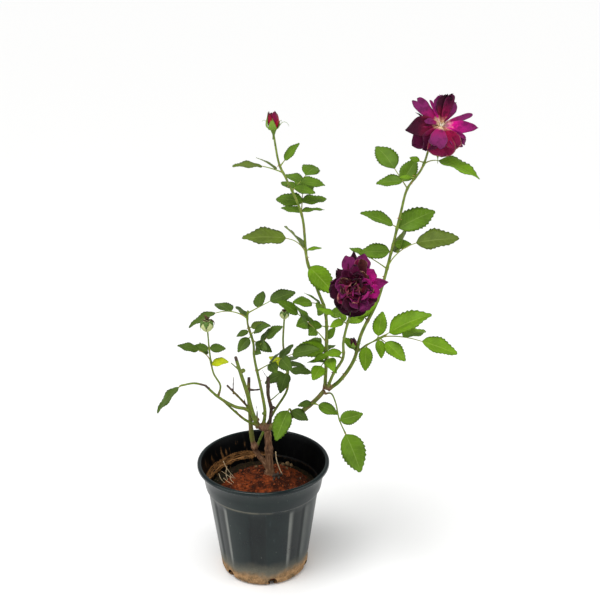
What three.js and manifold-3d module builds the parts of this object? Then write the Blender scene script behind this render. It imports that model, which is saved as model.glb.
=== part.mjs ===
// A patio rose in a round nursery pot: trunk, boughs, canes, leaves, two open blooms, a bud and two hips.
// Millimetres, +Z up. The origin is the middle of the pot's flat underside; X runs across the front of
// the plant and +Y away from it. Headings are degrees in plan: 0 is +X, 90 is +Y. Rises are degrees
// above level.
import * as THREE from 'three';
import { mergeVertices } from 'three/addons/utils/BufferGeometryUtils.js';
import Module from 'manifold-3d';

const kernel = await Module();
kernel.setup();

// ---- Driving sizes ---------------------------------------------------------------------------

const GAP = 0.3; // clear space between neighbouring pieces

const POT = {
  height: 180,
  rimRadius: 100, // outside of the rolled lip
  lipHeight: 7,
  collarTop: 93.5, // outside radius under the lip
  collarFoot: 88,
  collarDepth: 40, // from the rim's top down to the step under the collar
  lipInside: 94.3, // inside edge of the lip's flat top
  lipRound: 2, // height of the rounding of the lip's edges
  bodyTop: 85,
  bodyFoot: 67.5,
  baseRadius: 60, // flat underside
  baseRound: 10, // height of the rounded corner above the underside
  wall: 2,
  panels: 8, // shallow upright recesses in the body
  panelDepth: 0.9,
  panelHalf: 9, // degrees from a recess's middle to its edge
  panelAngle: -5, // heading of the first recess, from straight ahead
  drainHoles: 6,
  drainTurn: -78, // heading of the first drain hole
  drainRadius: 7,
  drainHeight: 6.5,
  drainDepth: 24, // length of the cut through the rounded corner
  segments: 48,
};

const SOIL = {
  edge: 136, // height of the soil at the pot's wall
  mound: 148.7, // height of the flat patch that the trunk stands on
  patch: 17, // radius of that patch
  shoulder: 1.8, // radius of the mound's shoulder, of the patch's
  shoulderDrop: 5, // below the patch
  hollow: 0.62, // radius where the mound runs out, of the wall's
  hollowRise: 2, // above the soil's edge
  segments: 24,
};

const LEAFLET = {
  width: 0.62, // of its length
  thick: 0.03, // of its length
  thinnest: 0.9,
  fold: 0.22, // rise of the edges above the midrib, of the half width
  curl: 0.16, // drop of the tip, of the length
  spacing: 0.5, // between pairs on the stalk, of the end leaflet's length
  sink: 1.2, // depth of a leaflet's foot in its stalk
  splay: 62, // degrees between a side leaflet and its stalk
  swing: 14, // degrees of chance in the splay
  tilt: 36, // degrees of chance in a blade's roll
  lift: 5, // degrees that a leaf starts above its heading, to make up for the drop of its tips
  lastPair: 0.84, // length of the side leaflets next to the end one, of its length
  pairStep: 0.14, // how much shorter each pair before it is
};

const RACHIS = { foot: 2.6, tip: 1.6, steps: 4 }; // thickness of a leaf's stalk at foot and tip, and its bends

const PETAL = { thick: 2, fold: 0.16, full: 0.75, sunk: 0.6 }; // sunk: how deep its foot is, of the heart's radius

const CURVE = { frames: 96, readings: 200, span: 18 }; // samples of a limb's line, and the length of a tube's step

// ---- Shaping ---------------------------------------------------------------------------------

const point = (x, y, z) => new THREE.Vector3(x, y, z);
const radians = THREE.MathUtils.degToRad;
const blend = THREE.MathUtils.lerp;

// The same seeded draws in the same order give the same plant every time.
function seeded(seed) {
  let state = seed;
  return () => {
    state = (Math.imul(state, 1664525) + 1013904223) >>> 0;
    return state / 4294967296;
  };
}

// The closed mesh as a solid that can be joined and cut.
function solid(geometry) {
  const bare = geometry.clone();
  bare.deleteAttribute('normal');
  bare.deleteAttribute('uv');
  const merged = mergeVertices(bare, 1e-4);
  return new kernel.Manifold(new kernel.Mesh({
    numProp: 3,
    vertProperties: new Float32Array(merged.attributes.position.array),
    triVerts: new Uint32Array(merged.index.array),
  }));
}

// The largest single body of a solid: cut-off crumbs are dropped.
function largest(made) {
  const bodies = made.decompose();
  bodies.sort((a, b) => b.volume() - a.volume());
  return bodies[0];
}

function union(pieces) {
  return kernel.Manifold.union(pieces);
}

// Moves every vertex of a geometry to where place(x, y, z) puts it.
function reshape(geometry, place) {
  const position = geometry.attributes.position;
  for (let i = 0; i < position.count; i += 1) {
    const to = place(position.getX(i), position.getY(i), position.getZ(i));
    position.setXYZ(i, to.x, to.y, to.z);
  }
  return geometry;
}

// A limb's middle line, with the frames that carry its section along it.
function limbLine(points) {
  const curve = new THREE.CatmullRomCurve3(points.map((p) => point(...p)), false, 'centripetal');
  const frames = curve.computeFrenetFrames(CURVE.frames);
  const miss = (u, height) => Math.abs(curve.getPointAt(u).z - height);
  return {
    length: curve.getLength(),
    at(u) {
      const share = THREE.MathUtils.clamp(u, 0, 1);
      const i = Math.round(share * CURVE.frames);
      return { centre: curve.getPointAt(share), normal: frames.normals[i], binormal: frames.binormals[i] };
    },
    // How far along the line it passes a height.
    atHeight(height) {
      let best = 0;
      for (let i = 0; i <= CURVE.readings; i += 1) {
        if (miss(i / CURVE.readings, height) < miss(best, height)) best = i / CURVE.readings;
      }
      return best;
    },
  };
}

// A straight cylinder bent along a limb's line from one place to another, as thick as radiusAt says.
function tube(line, radiusAt, { from = 0, to = 1, sides = 6, steps = 6 } = {}) {
  const geometry = new THREE.CylinderGeometry(1, 1, 1, sides, steps);
  return reshape(geometry, (x, y, z) => {
    const u = blend(from, to, y + 0.5);
    const { centre, normal, binormal } = line.at(u);
    const radius = radiusAt(u);
    return centre.clone().addScaledVector(normal, x * radius).addScaledVector(binormal, -z * radius);
  });
}

// A thin blade, thickest along its midrib: the shape of a leaflet, a petal or a sepal. It is a ball of few
// faces pressed flat, broader low down; full makes it broader towards the tip.
function blade(foot, along, across, { length, width, thick, fold, curl, full = 0 }) {
  const normal = along.clone().cross(across);
  const geometry = new THREE.SphereGeometry(1, 4, 3);
  return reshape(geometry, (x, y, z) => {
    const t = (1 - y) / 2;
    const side = x * (width / 2) * (1.36 - 0.8 * t + full * t);
    const lift = z * thick * 0.6 + fold * Math.abs(side) - curl * length * t * t;
    return foot.clone().addScaledVector(along, length * t).addScaledVector(across, side)
      .addScaledVector(normal, lift);
  });
}

// The direction of a heading and rise, and the direction across it. A blade lies face up between the two;
// facing turns its upper side towards the front by up to that many degrees.
function aim(heading, rise, facing = 0) {
  const h = radians(heading);
  const r = radians(rise);
  const along = point(Math.cos(r) * Math.cos(h), Math.cos(r) * Math.sin(h), Math.sin(r));
  const across = point(-Math.sin(h), Math.cos(h), 0).applyAxisAngle(along, radians(facing) * Math.cos(h));
  return { along, across };
}

// ---- Colours ---------------------------------------------------------------------------------

const finish = (color, roughness) => new THREE.MeshStandardMaterial({ color, roughness, metalness: 0 });
const potPlastic = finish('#1d2126', 0.45);
const redSoil = finish('#7c4a34', 0.95);
const brownBark = finish('#6b5138', 0.85);
const greenBark = finish('#6f7a3a', 0.6);
const deadWood = finish('#4a3a2c', 0.9);
const freshLeaf = finish('#6f9a1e', 0.5);
const darkLeaf = finish('#3f6a1c', 0.5);
const darkPetal = finish('#4f0a2e', 0.5);
const plumPetal = finish('#7c1a5a', 0.5);
const budGreen = finish('#5f7f34', 0.5);
const paleHip = finish('#9aa860', 0.55);

// ---- The plant's register ----------------------------------------------------------------------

const plant = new THREE.Group();
plant.name = 'rose_bush';
const placed = []; // every solid so far, for keeping new ones clear of it
const entry = (name, made) => ({ name, made, box: made.boundingBox() });

// Whether two boxes come closer than the gap.
function boxesNear(a, b) {
  for (let axis = 0; axis < 3; axis += 1) {
    if (a.min[axis] - GAP > b.max[axis] || b.min[axis] - GAP > a.max[axis]) return false;
  }
  return true;
}

// Whether a solid keeps the gap to all of these others.
function standsClear(candidate, others) {
  const box = candidate.boundingBox();
  return others.every((other) => !boxesNear(box, other.box) || candidate.minGap(other.made, 2 * GAP) >= GAP);
}

// Adds a finished solid to the plant as a named mesh.
function place(name, made, material) {
  const mesh = made.getMesh();
  const geometry = new THREE.BufferGeometry();
  geometry.setAttribute('position', new THREE.BufferAttribute(mesh.vertProperties, 3));
  geometry.setIndex(new THREE.BufferAttribute(mesh.triVerts, 1));
  const body = new THREE.Mesh(geometry, material);
  body.name = name;
  plant.add(body);
  placed.push(entry(name, made));
}

// ---- Pot and soil ------------------------------------------------------------------------------

function potSolid() {
  const { height, rimRadius, lipHeight, lipInside, lipRound, collarTop, collarFoot, collarDepth, wall } = POT;
  const step = height - collarDepth;
  const outside = [
    [POT.baseRadius, 0],
    [POT.bodyFoot - 3, 3],
    [POT.bodyFoot, POT.baseRound],
    [POT.bodyTop, step],
    [collarFoot, step],
    [collarTop, height - lipHeight],
    [rimRadius - 1, height - lipHeight],
    [rimRadius, height - lipHeight + lipRound],
    [rimRadius, height - lipRound],
    [rimRadius - lipRound, height],
  ];
  const inside = [
    [lipInside, height],
    [lipInside - 1, height - lipRound],
    [collarTop - wall, height - lipHeight - lipRound],
    [collarFoot - wall, step + 2],
    [POT.bodyTop - wall, step - 2],
    [POT.bodyFoot - wall, POT.baseRound],
    [POT.baseRadius - wall, wall],
  ];
  const profile = [[0, 0], ...outside, ...inside, [0, wall]].map(([r, z]) => new THREE.Vector2(r, z));
  const lathe = new THREE.LatheGeometry(profile, POT.segments);
  const spacing = 360 / POT.panels;
  reshape(lathe, (x, y, z) => {
    // The lathe turns about Y: stood up on Z, with the recesses pressed into the outside of the body, which
    // lies between the flat underside and the step, and outside the wall's middle.
    const radius = Math.hypot(x, z);
    const heading = THREE.MathUtils.radToDeg(Math.atan2(-z, x));
    const fromFront = heading + 90 - POT.panelAngle;
    const offCentre = Math.abs(THREE.MathUtils.euclideanModulo(fromFront + spacing / 2, spacing) - spacing / 2);
    const beyondMiddle = radius > blend(POT.bodyFoot, POT.bodyTop, y / step) - wall * 0.75;
    const outer = beyondMiddle && radius < collarFoot - wall / 4;
    const onBody = outer && y > wall && y < step + wall / 4;
    const scale = onBody && offCentre < POT.panelHalf ? (radius - POT.panelDepth) / radius : 1;
    return point(x * scale, -z * scale, y);
  });
  let pot = solid(lathe);
  for (let i = 0; i < POT.drainHoles; i += 1) {
    const turn = radians(POT.drainTurn + (i * 360) / POT.drainHoles);
    const hole = new THREE.CylinderGeometry(POT.drainRadius, POT.drainRadius, POT.drainDepth, 8);
    hole.rotateZ(Math.PI / 2).translate(POT.bodyFoot, 0, 0).rotateZ(turn).translate(0, 0, POT.drainHeight);
    pot = pot.subtract(solid(hole));
  }
  return largest(pot);
}

function soilSolid() {
  const { bodyFoot, bodyTop, collarDepth, height, wall, baseRound, baseRadius } = POT;
  const step = height - collarDepth;
  const wallAt = (z) => blend(bodyFoot, bodyTop, (z - baseRound) / (step - baseRound)) - wall - GAP;
  const profile = [
    [0, wall + GAP],
    [baseRadius - wall * 2, wall + GAP],
    [wallAt(baseRound) - GAP, baseRound],
    [wallAt(SOIL.edge), SOIL.edge],
    [wallAt(SOIL.edge) * SOIL.hollow, SOIL.edge + SOIL.hollowRise],
    [SOIL.patch * SOIL.shoulder, SOIL.mound - SOIL.shoulderDrop],
    [SOIL.patch, SOIL.mound],
    [0, SOIL.mound],
  ].map(([r, z]) => new THREE.Vector2(r, z));
  const lathe = new THREE.LatheGeometry(profile, SOIL.segments);
  // The mound sits under the trunk's foot, a little off the pot's middle.
  return solid(reshape(lathe, (x, y, z) => {
    const lean = y > SOIL.edge + SOIL.hollowRise ? 1 : 0;
    return point(x + TRUNK.foot[0] * lean, -z + TRUNK.foot[1] * lean, y);
  }));
}

// ---- Trunk, boughs and canes -------------------------------------------------------------------

const TRUNK = {
  foot: [9, 13, SOIL.mound - 4], // the line starts below ground, where the flat cut takes it off
  middle: [8, 14, 184],
  top: [6, 14, 226],
  footWidth: 14,
  topWidth: 11.5,
  flare: 4.5, // the root flare's extra radius at the ground
  flareFall: 14, // how fast the flare dies away along the trunk
  knuckle: 8.5, // radius of the swollen knuckle at the top, where the boughs fork
  knuckleShape: [1.15, 0.85, 0.75], // the knuckle's width, depth and height, of that
  knuckleShift: [-5, -1, 2], // from the top of the trunk's line
  cutBox: 40, // half width and height of the block that takes off what lies below ground
};

// Each limb: the points its middle line passes, and its width at foot and tip. A limb's line starts inside
// the one it grows from, and it is seated clear of those before it in the list.
const LIMBS = {
  side_stem: {
    points: [
      [6, 17, 158], [-13, 22, 183], [-19, 24, 214], [-20, 25, 242], [-22, 26, 273], [-21, 26, 304],
    ],
    foot: 9, tip: 5, bark: brownBark,
  },
  bough_back: {
    points: [
      [-12, 22, 186], [-3, 30, 206], [16, 42, 240], [36, 53, 272], [36, 58, 305], [30, 60, 342], [32, 62, 388],
    ],
    foot: 4.6, tip: 3, bark: greenBark,
  },
  bough_right: {
    points: [[9, 13, 226], [27, 9, 240], [56, 2, 258], [79, -3, 281], [91, -5, 297]],
    foot: 8, tip: 6.4, bark: brownBark,
  },
  bough_left: {
    points: [[-8, 11, 240], [-24, 3, 262], [-40, -8, 272], [-64, -20, 294], [-81, -30, 317]],
    foot: 6, tip: 3.6, bark: greenBark,
  },
  stub_green: {
    points: [[-7, 12, 228], [-15, 7, 252], [-22, -2, 290], [-31, -14, 330], [-37, -20, 357]],
    foot: 7.6, tip: 4.8, bark: greenBark,
  },
  bough_centre: {
    points: [
      [0, 13, 230], [3, 9, 254], [-1, 3, 290], [-11, -4, 350], [-12, -4, 372], [-20, 0, 402], [-19, 2, 420],
    ],
    foot: 5.6, tip: 2.8, bark: greenBark,
  },
  bough_left_low: {
    points: [[-9, 14, 230], [-26, 6, 243], [-37, 0, 256], [-58, -15, 286]],
    foot: 4.4, tip: 3, bark: brownBark,
  },
  stub_dead: {
    points: [[9, 16, 228], [11, 17, 245], [12, 18, 257], [8, 18, 276], [8, 18, 308]],
    foot: 5.4, tip: 5.6, bark: deadWood,
  },
  twig_dead: {
    points: [[-17, 5, 258], [-31, 7, 275], [-52, -2, 304]],
    foot: 3.8, tip: 3.2, bark: deadWood,
  },
  cane_left: {
    points: [
      [92, -5, 299], [94, 3, 352], [92, 11, 415], [81, 14, 446], [66, 18, 488], [58, 24, 555], [36, 30, 606],
      [27, 30, 625], [19, 32, 668],
    ],
    foot: 5.6, tip: 3, bark: greenBark,
  },
  cane_front: {
    points: [[95, -7, 300], [104, -14, 328], [117, -22, 356], [117, -30, 385], [126, -42, 436]],
    foot: 5, tip: 3.6, bark: greenBark,
  },
  cane_tall: {
    points: [
      [96, -3, 297], [113, 3, 308], [134, 9, 338], [145, 14, 379], [168, 22, 428], [188, 33, 505],
      [199, 38, 556], [207, 40, 589], [226, 39, 618], [236, 34, 655],
    ],
    foot: 6, tip: 3.2, bark: greenBark,
  },
};

for (const limb of Object.values(LIMBS)) limb.line = limbLine(limb.points);

const limbRadius = (limb, extra = 0) => (u) => blend(limb.foot, limb.tip, u) / 2 + extra;

function trunkSolid(extra = 0) {
  const line = limbLine([TRUNK.foot, TRUNK.middle, TRUNK.top]);
  const radiusAt = (u) => {
    const taper = blend(TRUNK.footWidth, TRUNK.topWidth, u) / 2;
    return taper + TRUNK.flare * Math.exp(-u * TRUNK.flareFall) + extra;
  };
  const stem = tube(line, radiusAt, { sides: 10, steps: 12 });
  const knuckle = new THREE.SphereGeometry(TRUNK.knuckle + extra, 10, 6);
  knuckle.scale(...TRUNK.knuckleShape).translate(...TRUNK.top).translate(...TRUNK.knuckleShift);
  const below = new THREE.BoxGeometry(2 * TRUNK.cutBox, 2 * TRUNK.cutBox, TRUNK.cutBox);
  below.translate(TRUNK.foot[0], TRUNK.foot[1], SOIL.mound + GAP - TRUNK.cutBox / 2);
  return union([solid(stem), solid(knuckle)]).subtract(solid(below));
}

// A limb's own solid between two places on its line.
function limbSolid(limb, { from = 0, to = 1, extra = 0, sides = 8 } = {}) {
  const steps = Math.max(3, Math.round((limb.line.length * (to - from)) / CURVE.span));
  return solid(tube(limb.line, limbRadius(limb, extra), { from, to, sides, steps }));
}

// ---- Leaves ------------------------------------------------------------------------------------

// One rose leaf: where its stalk leaves the stem (height), which way it points from stalk to tip (heading,
// rise), the bare stalk, the length of its end leaflet, its pairs of side leaflets, how far it arches over
// from its rising start to its falling end, how far its upper side is turned to the front, and which sides
// of the stalk carry leaflets.
const BOTH = [1, -1];
const FAR_LEFT = [-1]; // the far side of a leaf that points left
const FAR_RIGHT = [1];
const leaf = (height, heading, rise, stalk, size, pairs, arch = 10, facing = 25, sides = BOTH) => (
  { height, heading, rise, stalk, size, pairs, arch, facing, sides });

// The pieces of one leaf: the stalk that its leaflets sit on, then the leaflets, side pairs first.
function leafPieces(foot, { heading, rise, stalk, size, pairs, arch, facing, sides }, draw) {
  const reach = stalk + pairs * size * LEAFLET.spacing;
  const riseAt = (u) => rise + LEAFLET.lift + arch * (0.6 - u);
  const path = [foot];
  for (let i = 0; i < RACHIS.steps; i += 1) {
    const { along } = aim(heading, riseAt((i + 0.5) / RACHIS.steps));
    path.push(path[i].clone().addScaledVector(along, reach / RACHIS.steps));
  }
  const line = limbLine(path.map((p) => p.toArray()));
  const radiusAt = (u) => blend(RACHIS.foot, RACHIS.tip, u) / 2;
  const pieces = [tube(line, radiusAt, { sides: 3, steps: pairs > 0 ? 3 : 1 })];

  const leaflet = (distance, splay, length) => {
    const u = Math.min(distance / reach, 1);
    const main = aim(heading, riseAt(u), facing);
    const turn = radians(splay + (draw() - 0.5) * LEAFLET.swing);
    const [cos, sin] = [Math.cos(turn), Math.sin(turn)];
    const along = main.along.clone().multiplyScalar(cos).addScaledVector(main.across, sin);
    const across = main.across.clone().multiplyScalar(cos).addScaledVector(main.along, -sin);
    across.applyAxisAngle(along, radians((draw() - 0.5) * LEAFLET.tilt));
    const long = length * (0.94 + draw() * 0.12);
    const at = line.at(u).centre.clone().addScaledVector(along, -LEAFLET.sink);
    return blade(at, along, across, {
      length: long + LEAFLET.sink,
      width: long * LEAFLET.width,
      thick: Math.max(LEAFLET.thinnest, long * LEAFLET.thick),
      fold: LEAFLET.fold,
      curl: LEAFLET.curl,
    });
  };

  for (let k = 0; k < pairs; k += 1) {
    const distance = stalk + k * size * LEAFLET.spacing;
    const ratio = LEAFLET.lastPair - LEAFLET.pairStep * (pairs - 1 - k);
    for (const side of sides) pieces.push(leaflet(distance, side * LEAFLET.splay, size * ratio));
  }
  pieces.push(leaflet(reach, 0, size));
  return pieces.map(solid);
}

// ---- Blooms, bud and hips ----------------------------------------------------------------------

const petal = (heading, rise, length, width, curl = 0.1, facing = 40) => (
  { heading, rise, length, width, curl, facing });

const BLOOMS = {
  bloom_top: {
    cane: 'cane_tall', heart: [249, 30, 680], core: 11, cup: 7, color: plumPetal,
    petals: [
      petal(-168, 8, 52, 32, 0.2), petal(-148, -16, 48, 30, 0.25), petal(-120, -22, 42, 30, 0.3),
      petal(-92, -26, 42, 36, 0.3), petal(-50, -22, 42, 26, 0.3), petal(-12, 6, 48, 17, 0.05, 50),
      petal(5, 28, 46, 11, -0.1, 50), petal(60, 66, 42, 22, 0), petal(115, 70, 40, 22, 0),
      petal(172, 42, 46, 17, -0.05, 60), petal(110, 14, 40, 30, 0.2), petal(50, 16, 38, 30, 0.2),
    ],
  },
  bloom_front: {
    cane: 'cane_front', heart: [132, -49, 473], core: 19, cup: 8, color: darkPetal,
    petals: [
      petal(150, 66, 50, 26, 0.1), petal(55, 66, 50, 24, 0.1), petal(-30, 36, 33, 24, 0.2),
      petal(-5, 10, 40, 22, 0.1), petal(-20, -26, 36, 24, 0.3), petal(-60, -52, 37, 28, 0.2),
      petal(-110, -60, 39, 32, 0.2), petal(-160, -32, 38, 30, 0.3), petal(-172, 24, 33, 18, 0.1),
      petal(130, 6, 34, 30, 0.3), petal(85, 16, 34, 30, 0.3), petal(40, 2, 34, 30, 0.3),
      petal(100, -36, 32, 30, 0.3),
    ],
  },
};

const BUD = { foot: [19, 32, 668], top: [18, 31, 703], radius: 8, sepals: 5, sepalLength: 26, sepalWidth: 7 };

const HIPS = {
  hip_left: {
    centre: [-75.5, -28, 409], radius: 9.5, height: 21, stem: [[-73, -25, 362], [-75, -28, 403]], tip: 2.6,
  },
  hip_back: { centre: [32, 62, 391], radius: 7.5, height: 15, stem: [[30, 60, 342], [32, 62, 388]], tip: 3.2 },
};

function ball(centre, [rx, ry, rz], around = 8, down = 5) {
  const geometry = new THREE.SphereGeometry(1, around, down);
  return solid(geometry.rotateX(Math.PI / 2).scale(rx, ry, rz).translate(...centre));
}

// A bloom: a heart with petals standing out of it, and a cup that narrows to the cane's tip.
function bloomSolid({ cane, heart, core, cup, petals }) {
  const limb = LIMBS[cane];
  const { centre } = limb.line.at(0.985);
  const neck = limbLine([centre.toArray(), heart]);
  const pieces = [
    ball(heart, [core, core, core * 0.9]),
    solid(tube(neck, (u) => blend(limb.tip / 2 + 1.2, cup, u ** 2), { sides: 8, steps: 3 })),
  ];
  for (const { heading, rise, length, width, curl, facing } of petals) {
    const { along, across } = aim(heading, rise, facing);
    const sunk = core * PETAL.sunk;
    const foot = point(...heart).addScaledVector(along, sunk);
    const { thick, fold, full } = PETAL;
    pieces.push(solid(blade(foot, along, across, { length: length - sunk, width, thick, fold, curl, full })));
  }
  return largest(union(pieces).subtract(limbSolid(limb, { from: 0.9, extra: GAP })));
}

// The bud: an upright egg held by sepals, one of which curls away.
function budSolid() {
  const limb = LIMBS.cane_left;
  const middle = point(...BUD.foot).lerp(point(...BUD.top), 0.5);
  const tall = BUD.top[2] - BUD.foot[2];
  const pieces = [ball(middle.toArray(), [BUD.radius, BUD.radius, tall / 2])];
  for (let i = 0; i < BUD.sepals; i += 1) {
    const loose = i === 0;
    const { along, across } = aim(i * (360 / BUD.sepals) - 20, loose ? 40 : 62);
    const foot = point(...BUD.foot).addScaledVector(along, 1).add(point(0, 0, 3));
    const length = BUD.sepalLength * (loose ? 1.1 : 0.7);
    const curl = loose ? 0.3 : -0.3;
    pieces.push(solid(blade(foot, along, across, { length, width: BUD.sepalWidth, thick: 1.4, fold: 0.1, curl })));
  }
  return largest(union(pieces).subtract(limbSolid(limb, { from: 0.9, extra: GAP })));
}

// A hip: a round fruit with the withered sepals still standing on it.
function hipSolid({ centre, radius, height, stem, tip }) {
  const pieces = [ball(centre, [radius, radius, height / 2])];
  for (let i = 0; i < 5; i += 1) {
    const { along, across } = aim(i * 72 + 15, 48);
    const foot = point(...centre).add(point(0, 0, height / 2 - 2));
    pieces.push(solid(blade(foot, along, across, {
      length: radius * 0.9, width: radius * 0.35, thick: 1, fold: 0.1, curl: 0.2,
    })));
  }
  const shoot = { foot: tip, tip, line: limbLine(stem) };
  return largest(union(pieces).subtract(limbSolid(shoot, { from: 0.5, extra: GAP + 0.3 })));
}

// ---- The masses of leaves ----------------------------------------------------------------------

// A mass grows on the stretch of its cane between two heights, or on a side twig of its own.
const MASSES = {
  foliage_left_low: {
    on: 'cane_left', from: 322, to: 430, color: darkLeaf,
    leaves: [
      leaf(342, -112, -8, 6, 32, 1), leaf(350, 115, 5, 8, 34, 1), leaf(354, -82, -8, 8, 28, 1),
      leaf(362, -168, -10, 3, 46, 0, 0, 35), leaf(369, -158, 42, 30, 38, 2, 12),
      leaf(372, 20, 62, 4, 20, 0, 0, 60), leaf(392, -165, 10, 8, 28, 0), leaf(410, -20, 20, 8, 28, 0, 10, 40),
      leaf(424, -140, 16, 8, 34, 1, 10, 35),
    ],
  },
  foliage_left_mid: {
    on: 'cane_left', from: 430, to: 532, color: freshLeaf,
    leaves: [
      leaf(482, -20, -42, 2, 50, 0, 0, 60), leaf(487, -163, 37, 24, 62, 1, 80, 10, FAR_LEFT),
      leaf(503, 0, 15, 3, 20, 0),
    ],
  },
  foliage_left_top: {
    on: 'cane_left', from: 532, to: 700, color: freshLeaf,
    leaves: [
      leaf(556, 88, 14, 4, 50, 2, 0), leaf(588, 66, 10, 8, 42, 2, 0),
      leaf(614, -160, 14, 12, 42, 1, 10, 25, FAR_LEFT), leaf(622, -15, 48, 12, 30, 0, 0, 35),
    ],
  },
  foliage_front: {
    on: 'cane_front', from: 356, to: 500, color: freshLeaf,
    leaves: [
      leaf(366, -165, -4, 4, 26, 0, 0, 40), leaf(414, 165, 24, 8, 26, 1),
    ],
  },
  foliage_tall_low: {
    on: 'cane_tall', from: 345, to: 464, color: freshLeaf,
    leaves: [
      leaf(354, 150, 30, 3, 26, 0, 0, 30), leaf(398, 150, 30, 8, 34, 1, 10, 35), leaf(428, -170, -38, 2, 40, 0, 0, 50),
    ],
  },
  foliage_tall_mid: {
    on: 'cane_tall', from: 464, to: 576, color: freshLeaf,
    leaves: [
      leaf(474, 160, 22, 34, 30, 0), leaf(476, -10, 34, 28, 60, 1, 50, 25, FAR_RIGHT),
      leaf(498, 172, -4, 3, 44, 0, 0, 60), leaf(508, -5, 5, 3, 24, 0, 0, 60), leaf(531, 10, 22, 3, 58, 0, 10, 30),
      leaf(533, -171, 24, 8, 48, 0, 10, 30),
    ],
  },
  foliage_tall_top: {
    on: 'cane_tall', from: 576, to: 700, color: freshLeaf,
    leaves: [
      leaf(589, 125, 34, 14, 48, 1, 0, 60), leaf(604, 175, 5, 6, 16, 0), leaf(624, -12, 5, 22, 62, 0, 50, 5),
      leaf(626, 160, 10, 8, 14, 0, 0, 40),
    ],
  },
  foliage_centre_low: {
    on: 'bough_centre', from: 300, to: 374, color: darkLeaf,
    leaves: [leaf(327, -20, 26, 26, 40, 2, 10), leaf(356, -31, 46, 8, 30, 2, 10, 40)],
  },
  foliage_centre_top: {
    on: 'bough_centre', from: 374, to: 500, color: darkLeaf,
    leaves: [
      leaf(376, -30, -20, 6, 28, 0, 0, 50), leaf(382, -131, -24, 6, 28, 0), leaf(385, -35, 34, 8, 30, 0, 0, 40),
      leaf(390, -160, -10, 3, 18, 0), leaf(394, 20, 2, 4, 28, 0, 0, 20),
      leaf(408, -176, 0, 4, 45, 2, 60, 5, FAR_LEFT), leaf(416, 8, 22, 18, 38, 1, 0, 30, FAR_RIGHT),
    ],
  },
  foliage_back: {
    on: 'bough_back', from: 282, to: 500, color: darkLeaf,
    leaves: [
      leaf(297, -154, -10, 6, 34, 0), leaf(299, -110, -20, 6, 34, 0), leaf(301, -28, 7, 6, 34, 0),
      leaf(303, 160, 35, 8, 28, 0, 0, 40), leaf(306, 80, -5, 8, 34, 1),
    ],
  },
  foliage_hip: {
    stem: [[-63, -20, 296], [-60, -20, 312], [-69, -22, 332], [-73, -25, 362], [-75, -28, 403]],
    foot: 3.2, tip: 2.4, from: 'bough_left', color: darkLeaf,
    leaves: [
      leaf(348, -24, 20, 2, 26, 0, 0, 40), leaf(351, -165, 38, 14, 28, 1, 50, 20, FAR_LEFT),
      leaf(371, 175, 10, 2, 20, 0, 0, 60), leaf(373, -5, 6, 2, 22, 0, 0, 60),
    ],
  },
  foliage_right_spray: {
    stem: [[138, 12, 350], [150, 8, 362], [168, 5, 374], [179, 3, 381]],
    foot: 3, tip: 2.2, from: 'cane_tall', color: freshLeaf,
    leaves: [
      leaf(364, -96, -50, 4, 34, 0), leaf(374, 60, 60, 6, 36, 0, 0, 60), leaf(375, -80, -50, 3, 26, 0, 0, 30),
      leaf(376, -40, -24, 12, 40, 0, 0, 30), leaf(379, -16, -9, 30, 56, 1, 25, 10, FAR_RIGHT),
      leaf(381, -12, 34, 8, 62, 0, 10, 15),
    ],
  },
  leaf_far_left: {
    stem: [[-82, -30, 317], [-96, -34, 322], [-115, -40, 321]],
    foot: 2.6, tip: 2.2, from: 'bough_left', color: darkLeaf,
    leaves: [leaf(321, -160, -44, 4, 50, 0, 0, 0)],
  },
  leaf_hanging: {
    stem: [[42, 5, 252], [42, 4, 259], [40, -1, 265]],
    foot: 2.8, tip: 2.4, from: 'bough_right', color: freshLeaf,
    leaves: [leaf(262, -35, -14, 3, 28, 0, 0, 40), leaf(265, -136, -44, 4, 45, 0)],
  },
  foliage_fork: {
    stem: [[71, -2, 276], [75, -8, 278], [78, -14, 280]],
    foot: 2.8, tip: 2.4, from: 'bough_right', color: darkLeaf,
    leaves: [leaf(278, -170, -6, 3, 20, 0, 0, 40), leaf(280, -25, -20, 6, 30, 0, 0, 60)],
  },
  leaf_drooping: {
    stem: [[92, -6, 292], [101, -13, 296], [107, -20, 286], [113, -31, 262], [121, -40, 246]],
    foot: 2.8, tip: 2.2, from: 'bough_right', color: freshLeaf,
    leaves: [leaf(262, -20, 20, 2, 36, 0, 0, 70), leaf(246, -45, -66, 3, 62, 0, 0, 35)],
  },
};

const massLimb = (mass) => (
  mass.on ? LIMBS[mass.on] : { foot: mass.foot, tip: mass.tip, line: limbLine(mass.stem) });

// A mass's stem: its stretch of the cane, or its own twig seated against the limb it leaves.
function massStem(mass) {
  const limb = massLimb(mass);
  if (!mass.on) {
    return largest(limbSolid(limb, { sides: 6 }).subtract(limbSolid(LIMBS[mass.from], { extra: GAP })));
  }
  const { line } = limb;
  const from = line.atHeight(mass.from) + GAP / line.length;
  const to = mass.to < line.at(1).centre.z ? line.atHeight(mass.to) : 1;
  return limbSolid(limb, { from, to, sides: 6 });
}

// Grows a mass's leaves on its stem, leaving out what would touch something else.
function growMass(name, mass, stems, seed) {
  const draw = seeded(seed);
  const { line } = massLimb(mass);
  const others = [...placed, ...stems.filter((stem) => stem.name !== name)];
  const pieces = [stems.find((stem) => stem.name === name).made];
  for (const row of mass.leaves) {
    const start = line.at(line.atHeight(row.height)).centre.clone();
    const [stalk, ...leaflets] = leafPieces(start, row, draw);
    if (!standsClear(stalk, others)) continue;
    pieces.push(stalk, ...leaflets.filter((leaflet) => standsClear(leaflet, others)));
  }
  place(name, largest(union(pieces)), mass.color);
}

// ---- Assembly ----------------------------------------------------------------------------------

place('pot', potSolid(), potPlastic);
place('soil', soilSolid(), redSoil);
place('trunk', trunkSolid(), brownBark);

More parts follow.
